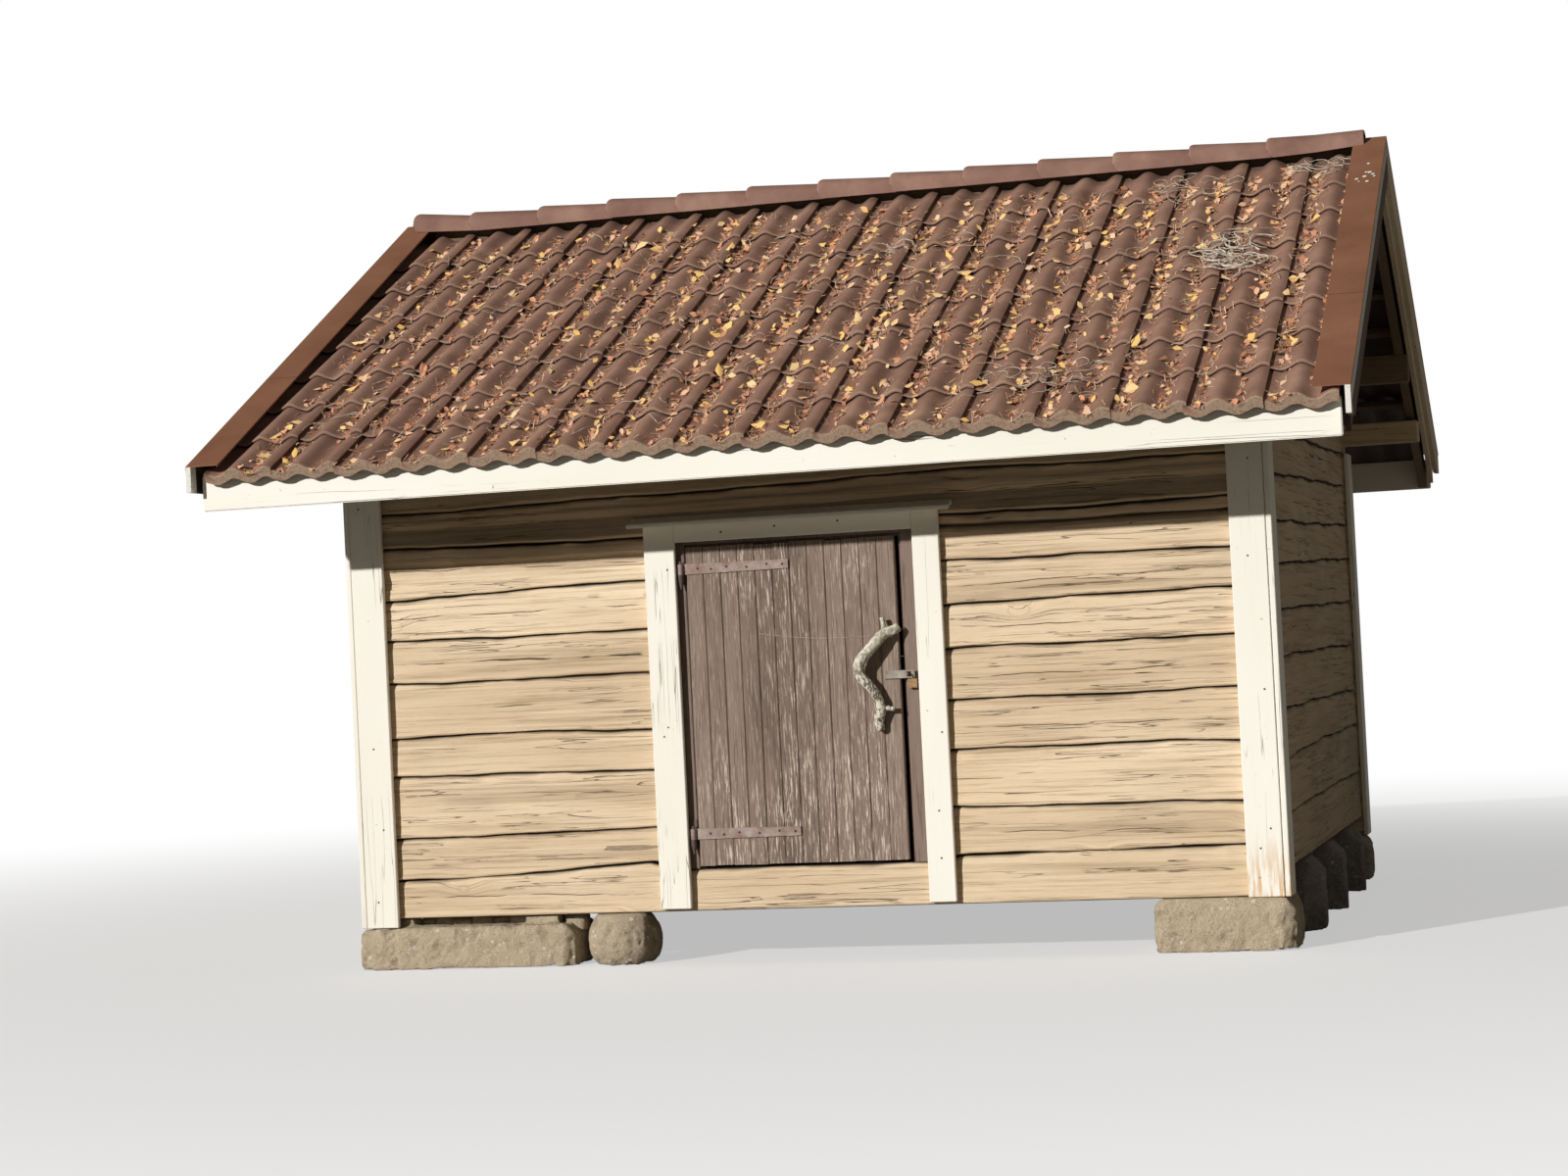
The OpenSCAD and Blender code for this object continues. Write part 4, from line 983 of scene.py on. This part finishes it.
# Bends of the branch: x from the leaf's right edge, stand-off, z above the leaf's foot, share of the radius
BENDS = (
    (-0.004, 0.022, 0.992, 0.80), (-0.030, 0.028, 0.975, 0.98), (-0.070, 0.040, 0.962, 1.08),
    (-0.115, 0.052, 0.916, 1.10), (-0.168, 0.058, 0.857, 1.12), (-0.180, 0.058, 0.820, 1.12),
    (-0.172, 0.056, 0.786, 1.04), (-0.136, 0.050, 0.742, 0.95), (-0.105, 0.042, 0.688, 0.90),
    (-0.098, 0.034, 0.645, 1.12), (-0.110, 0.028, 0.598, 1.02), (-0.103, 0.022, 0.552, 0.80),
)


def bend_point(bend):
    low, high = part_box("door_leaf")
    return Vector((high.x + bend[0], low.y - bend[1], low.z + bend[2]))


def spline(points, steps):
    """Points of a smooth curve through the given points."""
    points = [np.asarray(p, float) for p in points]
    points = [2 * points[0] - points[1]] + points + [2 * points[-1] - points[-2]]
    out = []
    for i in range(1, len(points) - 2):
        p0, p1, p2, p3 = points[i - 1:i + 3]
        for k in range(steps):
            t = k / steps
            out.append(0.5 * (2 * p1 + (p2 - p0) * t + (2 * p0 - 5 * p1 + 4 * p2 - p3) * t * t
                              + (3 * p1 - p0 - 3 * p2 + p3) * t ** 3))
    out.append(points[-2])
    return np.asarray(out)


def add_rod(shape, path, radii, sides=12, seed=0, knobs=0.0, tint=0.5):
    """A round stick along a path, with an uneven skin."""
    path = np.asarray(path, float)
    side = Vector((0.31, -0.9, 0.3)).normalized()
    rings = []
    for i, spot in enumerate(path):
        ahead = Vector(path[min(i + 1, len(path) - 1)] - path[max(i - 1, 0)]).normalized()
        across = ahead.cross(side).normalized()
        up = across.cross(ahead).normalized()
        side = up
        ring = []
        for k in range(sides):
            turn = 2 * math.pi * k / sides
            way = across * math.cos(turn) + up * math.sin(turn)
            lump = knobs * noise.noise(Vector(spot) * 38 + way * 1.6 + Vector((seed, 0, 0)))
            ring.append(Vector(spot) + way * radii[i] * (1 + lump))
        rings.append(ring)
    shape.loft(rings, tint)


def build_branch():
    thick = 0.0215
    path = spline([bend_point(b) for b in BENDS], 6)
    share = np.interp(np.linspace(0, len(BENDS) - 1, len(path)), range(len(BENDS)), [b[3] for b in BENDS])
    radii = thick * share
    radii[0] *= 0.75
    radii[-1] *= 0.7
    shape = Shape()
    add_rod(shape, path, radii, 18, 3, 0.22)
    top = bend_point(BENDS[2])
    tip = bend_point((-0.074, 0.034, 1.032))
    middle = (top + tip) / 2 + Vector((0.004, 0, 0))
    add_rod(shape, [top, middle, tip], [0.0120, 0.0095, 0.0108], 10, 5, 0.3)
    low = bend_point(BENDS[9])
    stub = bend_point((-0.038, 0.030, 0.644))
    middle = (low + stub) / 2 + Vector((0, 0, 0.003))
    add_rod(shape, [low, middle, stub], [0.0130, 0.0100, 0.0112], 10, 6, 0.3)
    for bend in (BENDS[1], BENDS[10]):
        spot = bend_point(bend)
        add_rod(shape, [spot, (spot.x, STRAP_BACK, spot.z)], [0.011, 0.013], 12, 8, 0.1)
    shape.build("crooked_branch", BARK, "branch_handle", "branch_bark", "door", 60)


def trimmed_foot(point):
    """Rafter feet end level with the fascia's lower edge."""
    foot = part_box("front_fascia")[0].z + 0.006
    if abs(point.y) > 2.40 and point.z < foot:
        return Vector((point.x, point.y, foot))
    return point


def settled_ridge_board(point):
    """The ridge board's top goes down with the ridge tiles that rest on the rolls."""
    return Vector((point.x, point.y, point.z - 0.034)) if point.z > 3.59 else point


def build_floor():
    low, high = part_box("floor_boards")
    shape = Shape()
    rng = random.Random(8)
    count = 29
    width = (high.x - low.x) / count
    for i in range(count):
        left = low.x + i * width
        add_box(shape, (left + 0.001, low.y, low.z), (left + width - 0.001, high.y, high.z), 0.0015,
                rng.uniform(0, 1), axis=1)
    shape.build("floor_boards_look", FLOOR_WOOD, "floor_boards", "bare_timber")


# Nodes that keep their CAD form: width of the ease on their edges, material, slot, body, nodes
EASED = (
    (0.003, WHITE_X, "white_board", "root", ("drip_cap",)),
    (0.004, WHITE_X, "white_board", "root", ("front_fascia", "rear_fascia")),
    (0.003, JAMB_WOOD, "brown_board", "root", ("left_jamb", "right_jamb")),
    (0.002, JAMB_WOOD, "brown_board", "root", ("head_jamb", "door_stops")),
    (0.003, DOOR_WOOD, "brown_board", "door", ("door_ledges",)),
    (0.0008, HASP_IRON, "wrought_iron", "door", ("hasp",)),
    (0.0012, BRASS, "brass", "door", ("padlock",)),
    (0.0006, DARK_IRON, "wrought_iron", "root", ("hasp_staple", "hinge_pintles")),
    (0.003, BARE_X, "bare_timber", "root", ("floor_joists", "purlins", "battens")),
    (0.003, BARE_Y, "bare_timber", "root", ("rafters_front", "rafters_rear")),
    (0.003, BARGEBOARD, "bare_timber", "root", ("left_bargeboards", "right_bargeboards")),
    (0.0006, FLASHING, "verge_metal", "root", ("left_verge_flashing", "right_verge_flashing")),
)
RESHAPED = {"battens": settled_ridge_board, "rafters_front": trimmed_foot, "rafters_rear": trimmed_foot}


def build_eased():
    for width, material, slot, body, nodes in EASED:
        for node in nodes:
            eased_copy(node, material, slot, width, body)


# Roof

def slope_point(x, s, n, rear=False):
    """A point of the front or rear slope from its place on the slope."""
    y = EDGE_Y + s * math.cos(PITCH) - n * math.sin(PITCH)
    z = EDGE_Z + s * math.sin(PITCH) + n * math.cos(PITCH)
    return (-x, -y, z) if rear else (x, y, z)


def wave(x):
    """Height of the rolls at x: their crests stand at the sides of each tile and at its middle."""
    return TILE_ROLL * (0.5 + 0.5 * math.cos(2 * math.pi * (x + TILE_HALF_WIDTH) / (TILE_COVER / 2)))


def tile_lift(x, left):
    """The surface sinks towards the tile's left edge, where it runs in under its neighbour."""
    away = (x - left) / 0.055
    return -0.0125 * (1 - min(max(away, 0.0), 1.0)) ** 1.3


def tile_lines(left, right, hollow):
    """Top and underside of one tile in (x, n, darkness). hollow is the open share of the roll. The two points
    at the left edge carry painted shade in the joint under the neighbour.
    """
    top, under = [], []
    for k, x in enumerate([left - 0.012, *np.linspace(left + 0.001, right, 23)]):
        lift = tile_lift(x, left)
        top.append((x, TILE_THICKNESS + wave(x) + lift, -0.6 if k < 2 else 0.0))
        under.append((x, max(0.0, hollow * wave(x) - 0.0005) + lift * 0.4, 0.0))
    return top, under[::-1]


def tile_runs(course):
    """Rings along a tile: place, how far its skin is drawn in, darkness of its top and of its underside. A
    positive value is the paler broken rim; a negative one is painted shade on the underside, in the hollows
    under the lips and on the covered upper end.
    """
    eave = course == 0
    cap, lip = (0.85, 0.6) if eave else (0.35, 0.45)
    end = TILE_LENGTH if course == TILE_COURSES - 1 else TILE_LENGTH - 0.02
    return ((0.0, 0.004, cap, cap if eave else -1.0), (0.003, 0.0012, lip, -1.0), (0.007, 0.0, lip, -1.0),
            (0.018, 0.0, 0.0, -1.0), (0.030, 0.0, 0.0, -1.0), (0.10, 0.0, 0.0, -1.0), (0.25, 0.0, 0.0, -1.0),
            (end, 0.0, -0.6, -1.0))


def tile_edge(x, run, sign, course, column):
    """How far a point near a tile's front edge lies up the slope and off it, by wear and the eave's form."""
    along, off = 0.0, 0.0
    eave = course == 0
    if run < 0.02:
        along += 0.004 * noise.noise(Vector((x * 60, course * 3.1, column * 1.7)))
    if eave and run < 0.10:
        along += EAVE_BACK * (1 - run / 0.10)
    if eave and run < 0.005:
        off += 0.0022 * noise.noise(Vector((x * 90, 7.0, sign)))
    if eave and sign > 0 and run < 0.02:
        off -= EAVE_DRIP
    return along, off


def add_tile(shape, column, course, rng, rear):
    """One double-roll tile, lofted from its tail up the slope."""
    left = -TILE_HALF_WIDTH + column * TILE_COVER + JOINT_OFFSET
    right = min(left + TILE_COVER, TILE_HALF_WIDTH + 0.018)
    top, under = tile_lines(left, right, 0.8 if course == 0 else 0.9)
    shift_x = rng.uniform(-0.0015, 0.0015)
    shift_s = rng.uniform(-0.004, 0.003)
    lift = rng.uniform(0.0, 0.0025)
    rings, marks = [], []
    for run, pull, mark, mark_under in tile_runs(course):
        ring, ring_marks = [], []
        for line, sign, base in ((top, -1, mark), (under, 1, mark_under)):
            for x, height, dark in line:
                along, off = tile_edge(x, run, sign, course, column)
                along += run
                off += height + sign * pull + lift
                s = course * GAUGE + shift_s + along * math.cos(TILE_TILT) + off * math.sin(TILE_TILT)
                n = TILE_SEAT - along * math.sin(TILE_TILT) + off * math.cos(TILE_TILT)
                ring.append(slope_point(x + shift_x, max(s, -0.002), n, rear))
                ring_marks.append(dark if dark < 0 else base)
        rings.append(ring)
        marks.append(ring_marks)
    shape.loft(rings, rng.uniform(0, 1), np.asarray(marks))


def build_tiles():
    for side, seed in (("front", 20), ("rear", 21)):
        rng = random.Random(seed)
        shape = Shape()
        for course in range(TILE_COURSES):
            for column in range(TILE_COLUMNS):
                add_tile(shape, column, course, rng, side == "rear")
        shape.build(side + "_roof_tiles", TILE, side + "_tiles", "roof_tile", crease=40)


RIDGE_FOOT = 3.5469
RIDGE_SETTLE = 0.020
RIDGE_COVER = 0.3645
RIDGE_LENGTH = 0.450
RIDGE_COUNT = 13
RIDGE_RIGHT = 2.365
RIDGE_LEFT = -2.399
# Rings along a saddle: share of its length, how far its skin is drawn in, height of its foot, wear
RIDGE_RINGS = (
    (0.0, 0.003, 0.0, 0.3), (0.012, 0.0, 0.0, 0.0), (0.5, 0.0, 0.0, 0.0), (0.93, 0.0, 0.0, 0.0),
    (0.965, 0.0, 0.010, 0.0), (0.985, 0.002, 0.024, 0.2), (1.0, 0.006, 0.040, 0.4),
)


def saddle(half, height, skin):
    """Ring of a ridge tile's section in (across, up): leaning sides and a rounded top, then back inside."""
    side = [(half, 0.0), (half - 0.003, height * 0.20), (half - 0.006, height * 0.40)]
    arc = [((half - 0.006) * math.cos(a), height * 0.40 + height * 0.60 * math.sin(a))
           for a in np.linspace(0.22, math.pi / 2, 7)]
    outer = side + arc
    inner = [(max(0.0, y - skin * (y / half)), max(0.0, z - skin * (z / height))) for y, z in outer]
    over = outer + [(-y, z) for y, z in reversed(outer[:-1])]
    return over + [(-y, z) for y, z in inner[:-1]] + inner[::-1]


def ridge_foot(x):
    """The ridge tiles rest on the rolls, and only the two end ones rise to pass over the verge metal."""
    rise = min(max((abs(x) - 2.08) / 0.24, 0.0), 1.0)
    return RIDGE_FOOT - RIDGE_SETTLE * (1 - rise)


def build_ridge_tiles():
    """Each saddle's wide left end laps over the narrow end of the next and stands up as a step."""
    shape = Shape()
    rng = random.Random(31)
    for i in range(RIDGE_COUNT):
        right = RIDGE_RIGHT - i * RIDGE_COVER
        length = min(RIDGE_LENGTH, right - RIDGE_LEFT)
        rings, marks = [], []
        tip = rng.uniform(-0.003, 0.002)
        for share, pull, lift, mark in RIDGE_RINGS:
            grow = share * length / RIDGE_LENGTH
            x = right - share * length
            half = 0.083 + 0.018 * grow - pull
            height = 0.082 + 0.026 * grow - pull
            foot = ridge_foot(x) + tip * share
            lift = min(lift, height * 0.7)
            rings.append([(x, y, foot + max(z, lift)) for y, z in saddle(half, height, 0.011)])
            marks.append(mark)
        shape.loft(rings, rng.uniform(0, 1), np.asarray(marks))
    shape.build("ridge_saddle_tiles", RIDGE, "ridge_tiles", "roof_tile", crease=45)


def build_droppings():
    """A few white splashes on the right verge metal, near the ridge."""
    shape = Shape()
    rng = random.Random(3)
    across, along = Vector((1, 0, 0)), Vector((0, math.cos(PITCH), math.sin(PITCH)))
    for _ in range(9):
        x, y = rng.gauss(2.395, 0.022), rng.gauss(-0.50, 0.05)
        z = VERGE_TOP + 0.0022 - abs(y) * math.tan(PITCH)
        shape.disc((x, y, z), across, along, rng.uniform(0.004, 0.011), 0.0012, 0.5, 0.0, 9)
    shape.build("bird_droppings", WHITE_X, slot="verge_metal")


def roof_surface(x, s):
    """Height n of the tiles' surface at a place on the slope."""
    course = min(max(int(s / GAUGE), 0), TILE_COURSES - 1)
    run = s - course * GAUGE
    return TILE_SEAT - run * math.sin(TILE_TILT) + (TILE_THICKNESS + wave(x)) * math.cos(TILE_TILT)


# A leaf's outline: along it, across it, share of its curl
LEAF_OUTLINE = (
    (-0.5, 0.0, 0.0), (-0.12, 0.5, 1.0), (0.22, 0.34, 1.0),
    (0.5, 0.0, 0.2), (0.22, -0.34, 1.0), (-0.12, -0.5, 1.0),
)


def add_leaf(shape, rng, x, s, size, tint, rear):
    """A small bent leaf that lies on the tiles."""
    n = roof_surface(x, s) + rng.uniform(0.002, 0.013)
    turn = rng.uniform(0, 2 * math.pi)
    slim = rng.uniform(0.45, 0.75)
    curl = rng.uniform(-0.3, 0.35) * size
    tilt_s, tilt_x = rng.uniform(-0.5, 0.75), rng.uniform(-0.6, 0.6)
    points = []
    for a, b, c in LEAF_OUTLINE:
        u, v = a * size, b * size * slim
        dx = u * math.cos(turn) - v * math.sin(turn)
        ds = u * math.sin(turn) + v * math.cos(turn)
        lift = curl * c * 0.5 + tilt_s * ds + tilt_x * dx
        spot_s = max(s + ds, 0.014)
        points.append(slope_point(x + dx, spot_s, max(n + lift, roof_surface(x + dx, spot_s) + 0.001), rear))
    shape.add(points, [(0, 1, 2, 3), (0, 3, 4, 5)], tint)


def litter_tint(rng):
    kind = rng.random()
    if kind < 0.24:
        return rng.uniform(0.0, 0.28)
    if kind < 0.66:
        return rng.uniform(0.3, 0.62)
    return rng.uniform(0.62, 0.95)


def add_needle(shape, rng, x, s, rear):
    """A spruce needle or thin stalk on the tiles."""
    turn = rng.gauss(math.pi / 2, 0.8)
    half = rng.uniform(0.008, 0.028)
    thin = rng.uniform(0.0010, 0.0019)
    dx, ds = half * math.cos(turn), half * math.sin(turn)
    points = []
    for along, across in ((-1, -1), (1, -1), (1, 1), (-1, 1)):
        px = x + along * dx - across * thin * math.sin(turn)
        ps = max(s + along * ds + across * thin * math.cos(turn), 0.006)
        points.append(slope_point(px, ps, roof_surface(px, ps) + 0.004 + 0.003 * along, rear))
    shape.add(points, [(0, 1, 2, 3)], rng.choice((0.12, 0.3, 0.66, 0.74)))


def valley_x(number):
    return -TILE_HALF_WIDTH + (number + 0.5) * TILE_COVER / 2


def add_heap(shape, rng, x, s, count, rear):
    """Leaves that have caught on each other in a valley."""
    reach = 0.018 + 0.006 * count
    for _ in range(count):
        size = rng.uniform(0.020, 0.044)
        add_leaf(shape, rng, x + rng.gauss(0, 0.017), s + rng.gauss(0, reach), size, litter_tint(rng), rear)


LITTER_HALF_WIDTH = 2.32
LITTER_TOP = 2.74
VALLEYS = 2 * TILE_COLUMNS


def fill_valley(shape, rng, valley, rear, amount):
    """Heaps of leaves and needles all the way up one valley between two rolls."""
    x = valley_x(valley)
    if abs(x) > LITTER_HALF_WIDTH:
        return
    s = rng.uniform(0.02, 0.10)
    while s < LITTER_TOP:
        full = 0.5 + 0.8 * noise.noise(Vector((valley * 5.3, s * 2.6, 2.0 if rear else 0.0)))
        full = min(max(full, 0.05), 1.0)
        add_heap(shape, rng, x, s, int(rng.uniform(3, 16) * full * amount + 0.6), rear)
        for _ in range(int(34 * full * amount)):
            add_needle(shape, rng, x + rng.gauss(0, 0.020), s + rng.uniform(-0.06, 0.06), rear)
        s += rng.uniform(0.07, 0.20)


def build_litter(name, rear, amount, seed):
    """Leaves, bits and needles on one slope: in the valleys, loose, large, and along the right verge."""
    rng = random.Random(seed)
    shape = Shape()
    for valley in range(VALLEYS):
        fill_valley(shape, rng, valley, rear, amount)
    for _ in range(int(260 * amount)):
        x = 0.55 * valley_x(rng.randint(1, VALLEYS - 2)) + 0.45 * rng.uniform(-2.2, 2.2)
        s, size = rng.uniform(0.02, 2.72), rng.uniform(0.026, 0.050)
        add_leaf(shape, rng, x, s, size, rng.uniform(0.70, 1.0), rear)
    for _ in range(int(80 * amount)):
        x = valley_x(rng.randint(1, VALLEYS - 2)) + rng.gauss(0, 0.02)
        s, size = rng.uniform(0.05, 2.70), rng.uniform(0.050, 0.072)
        add_leaf(shape, rng, x, s, size, rng.uniform(0.82, 1.0), rear)
    for _ in range(int(260 * amount)):
        x, s = rng.gauss(2.312, 0.006), rng.uniform(0.15, 2.60)
        if noise.noise(Vector((3.0, s * 3.0, 5.0))) > -0.15:
            add_leaf(shape, rng, x, s, rng.uniform(0.014, 0.034), litter_tint(rng), rear)
    shape.build(name, LEAVES, slot="roof_tile", crease=60)


def add_twig(shape, rng, x, s, length, radius, curl):
    """A curved twig that lies across the rolls."""
    turn = rng.uniform(0, 2 * math.pi)
    path, radii = [], []
    count = 9
    crest = TILE_THICKNESS + TILE_ROLL
    for k in range(count):
        share = k / (count - 1)
        base = max(roof_surface(x, s), roof_surface(x, s) - wave(x) + crest * 0.55)
        path.append(slope_point(x, s, base + 0.006 + 0.012 * math.sin(math.pi * share)))
        radii.append(radius * (1 - 0.55 * share))
        x = min(max(x + length / count * math.cos(turn + curl * share), -2.28), 2.28)
        s = min(max(s + length / count * math.sin(turn + curl * share), 0.01), 2.78)
    add_rod(shape, path, radii, 5)


# Heaps of twigs on the front slope: x, s, spread of both, number, longest, thickest
TWIG_HEAPS = (
    (1.87, 1.60, 0.060, 0.14, 36, 0.36, 0.0050), (1.22, 0.42, 0.150, 0.05, 22, 0.28, 0.0024),
    (1.60, 2.58, 0.090, 0.06, 12, 0.36, 0.0030), (2.20, 2.66, 0.060, 0.05, 18, 0.26, 0.0030),
    (0.30, 2.10, 0.100, 0.08, 10, 0.26, 0.0022),
)


def build_twigs():
    """Grey twigs on the front slope, with a pale tangle near its right end and a smaller one low down."""
    rng = random.Random(5)
    shape = Shape()
    for _ in range(150):
        add_twig(shape, rng, rng.uniform(-2.2, 2.2), rng.uniform(0.1, 2.7), rng.uniform(0.05, 0.20),
                 rng.uniform(0.0009, 0.0018), rng.uniform(-2.5, 2.5))
    for x, s, spread_x, spread_s, count, longest, thickest in TWIG_HEAPS:
        for _ in range(count):
            spot = rng.gauss(x, spread_x), rng.gauss(s, spread_s)
            length = rng.uniform(0.4, 1.0) * longest
            add_twig(shape, rng, *spot, length, rng.uniform(0.5, 1.0) * thickest,
                     rng.choice((-1, 1)) * rng.uniform(3.0, 6.0))
    shape.build("twigs_on_roof", TWIGS, slot="roof_tile", crease=60)


# Stones

def rough_skin(node, name, material, seed):
    """The CAD stones with a broken, weathered skin that stays inside their blocks."""
    obj = add_object(name, cad_mesh(node, material))
    remesh = obj.modifiers.new("skin", "REMESH")
    remesh.mode = "VOXEL"
    remesh.voxel_size = 0.0115
    soften = obj.modifiers.new("soften", "SMOOTH")
    soften.iterations = 3
    soften.factor = 0.5
    depsgraph = bpy.context.evaluated_depsgraph_get()
    baked = bpy.data.meshes.new_from_object(obj.evaluated_get(depsgraph))
    obj.modifiers.clear()
    obj.data = baked
    normals = [vertex.normal.copy() for vertex in baked.vertices]
    for vertex, normal in zip(baked.vertices, normals):
        spot = vertex.co.copy()
        bent = spot * 7.0 + 0.35 * noise.noise_vector(spot * 9.0)
        block = noise.cell_vector(bent + Vector((seed, 4, 0))).x - 1.0
        rough = noise.fractal(spot * 16.0 + Vector((seed, 0, 0)), 0.7, 2.1, 6)
        push = 0.007 * block + 0.014 * min(rough, 0.1)
        push *= 1 - min(max((spot.z - 0.185) / 0.02, 0.0), 1.0)
        vertex.co = spot + normal * push
        vertex.co.z = max(vertex.co.z, 0.0)
    smooth(baked, 180.0)
    place(obj, "root", node, "stone")


def build_chinking():
    """Small flat stones pushed in between the wedges on the long flat stone at the front left corner."""
    shape = Shape()
    rng = random.Random(12)
    low, high = 0.178, WALL_FOOT - 0.001
    x = -1.85
    while x < -1.36:
        width = rng.uniform(0.06, 0.12)
        top = high - rng.choice((0.0, 0.004, 0.010))
        y = -1.775 + rng.uniform(0.0, 0.02)
        add_box(shape, (x, y, low), (x + width, y + 0.10, top), 0.009, rng.uniform(0, 1))
        x += width + 0.002
    add_box(shape, (-1.140, -1.800, 0.140), (-1.045, -1.700, high), 0.012)
    shape.build("chinking_stones", DARK_STONE, slot="stone", crease=60)


STONE_SEED = 1


def build_stones():
    """All the stones. noise_vector goes by the clock until a seed is set."""
    noise.seed_set(STONE_SEED)
    rough_skin("corner_stones", "corner_field_stones", GREY_STONE, 3)
    rough_skin("wall_stones", "field_stones_under_walls", DARK_STONE, 9)
    build_chinking()


# Stage, light and camera

FLOOR_SEEN = (0.82, 0.81, 0.80, 1)
FLOOR_BOUNCE = (0.25, 0.22, 0.175, 1)


def build_stage():
    """A floor that the camera sees pale, and white far out, while the light that it throws back is duller."""
    reach = 60.0
    mesh = bpy.data.meshes.new("studio_floor")
    corners = [(-reach, -reach, 0), (reach, -reach, 0), (reach, reach, 0), (-reach, reach, 0)]
    mesh.from_pydata(corners, [], [(0, 1, 2, 3)])
    paint = Paint("studio_floor_paint", roughness=0.9, specular=0.1)
    rays = paint.tree.nodes.new("ShaderNodeLightPath").outputs
    seen = paint.math("ADD", rays["Is Camera Ray"], rays["Is Glossy Ray"], clamp=True)
    put(paint.shader["Base Color"], paint.mix(seen, FLOOR_BOUNCE, FLOOR_SEEN))
    away = paint.node("VectorMath", {0: paint.place}, "Value", operation="LENGTH")
    share = paint.times(seen, paint.span(away, 3.0, 14.0, 0.50, 1.0))
    white = paint.node("Emission", {"Color": (1, 1, 1, 1)})
    floor_shader = paint.tree.nodes["Principled BSDF"].outputs["BSDF"]
    mixed = paint.node("MixShader", {0: share, 1: floor_shader, 2: white})
    put(paint.tree.nodes["Material Output"].inputs["Surface"], mixed)
    mesh.materials.append(paint.material)
    add_object("studio_floor", mesh)


def build_world():
    """A dim warm fill on the object, which the camera sees as plain white."""
    world = bpy.data.worlds.new("studio_world")
    world.use_nodes = True
    tree = world.node_tree
    fill = tree.nodes["Background"]
    fill.inputs["Color"].default_value = (1.0, 0.93, 0.82, 1)
    fill.inputs["Strength"].default_value = 0.110
    rays = tree.nodes.new("ShaderNodeLightPath").outputs
    seen_by = {0: rays["Is Camera Ray"], 1: rays["Is Transmission Ray"]}
    seen = add_node(tree, "Math", seen_by, operation="ADD", use_clamp=True)
    white = add_node(tree, "Background", {"Color": (1, 1, 1, 1), "Strength": 1.0})
    mixed = add_node(tree, "MixShader", {0: seen, 1: fill.outputs["Background"], 2: white})
    put(tree.nodes["World Output"].inputs["Surface"], mixed)
    bpy.context.scene.world = world


def build_key_light():
    """A broad key from the front left, high enough for the eave's shadow to fall on the wall."""
    light = bpy.data.lights.new("key_light", "SUN")
    light.energy = 3.5
    light.angle = math.radians(1.1)
    light.color = (1.0, 0.98, 0.945)
    travel = Vector((0.62, 1.0, -0.42))
    add_object("key_light", light).rotation_euler = travel.to_track_quat("-Z", "Y").to_euler()


SENSOR = 36.0
PHOTO_WIDTH = 1600


def build_camera():
    """The photograph's camera: place, turn, tilt, roll and focal length, found from the shed's corners."""
    place_seen = Vector((3.4924, -14.408, 1.2924))
    turn, tilt, roll, focal = 0.2745, 0.0232, -0.0498, 3100.2
    ahead = Vector((-math.sin(turn) * math.cos(tilt), math.cos(turn) * math.cos(tilt), math.sin(tilt)))
    level = Vector((math.cos(turn), math.sin(turn), 0.0))
    upward = Vector((math.sin(turn) * math.sin(tilt), -math.cos(turn) * math.sin(tilt), math.cos(tilt)))
    right = level * math.cos(roll) + upward * math.sin(roll)
    up = upward * math.cos(roll) - level * math.sin(roll)
    data = bpy.data.cameras.new("photo_camera")
    data.sensor_width = SENSOR
    data.lens = SENSOR * focal / PHOTO_WIDTH
    data.clip_end = 200.0
    camera = add_object("photo_camera", data)
    turned = Matrix((right, up, -ahead)).transposed()
    camera.matrix_world = Matrix.Translation(place_seen) @ turned.to_4x4()
    bpy.context.scene.camera = camera


build_front_logs()
build_rear_logs()
build_gable("right", facing_x(1), 140)
build_gable("left", facing_x(-1), 180)
build_litter("fallen_leaves_front", False, 1.0, 76)
build_litter("fallen_leaves_rear", True, 0.4, 77)
for build_part in (
    build_trims, build_door, build_scratch, build_straps, build_branch, build_floor, build_eased, build_tiles,
    build_ridge_tiles, build_droppings, build_twigs, build_stones, build_stage, build_world, build_key_light,
    build_camera,
):
    build_part()
bpy.context.scene.view_settings.view_transform = "Standard"
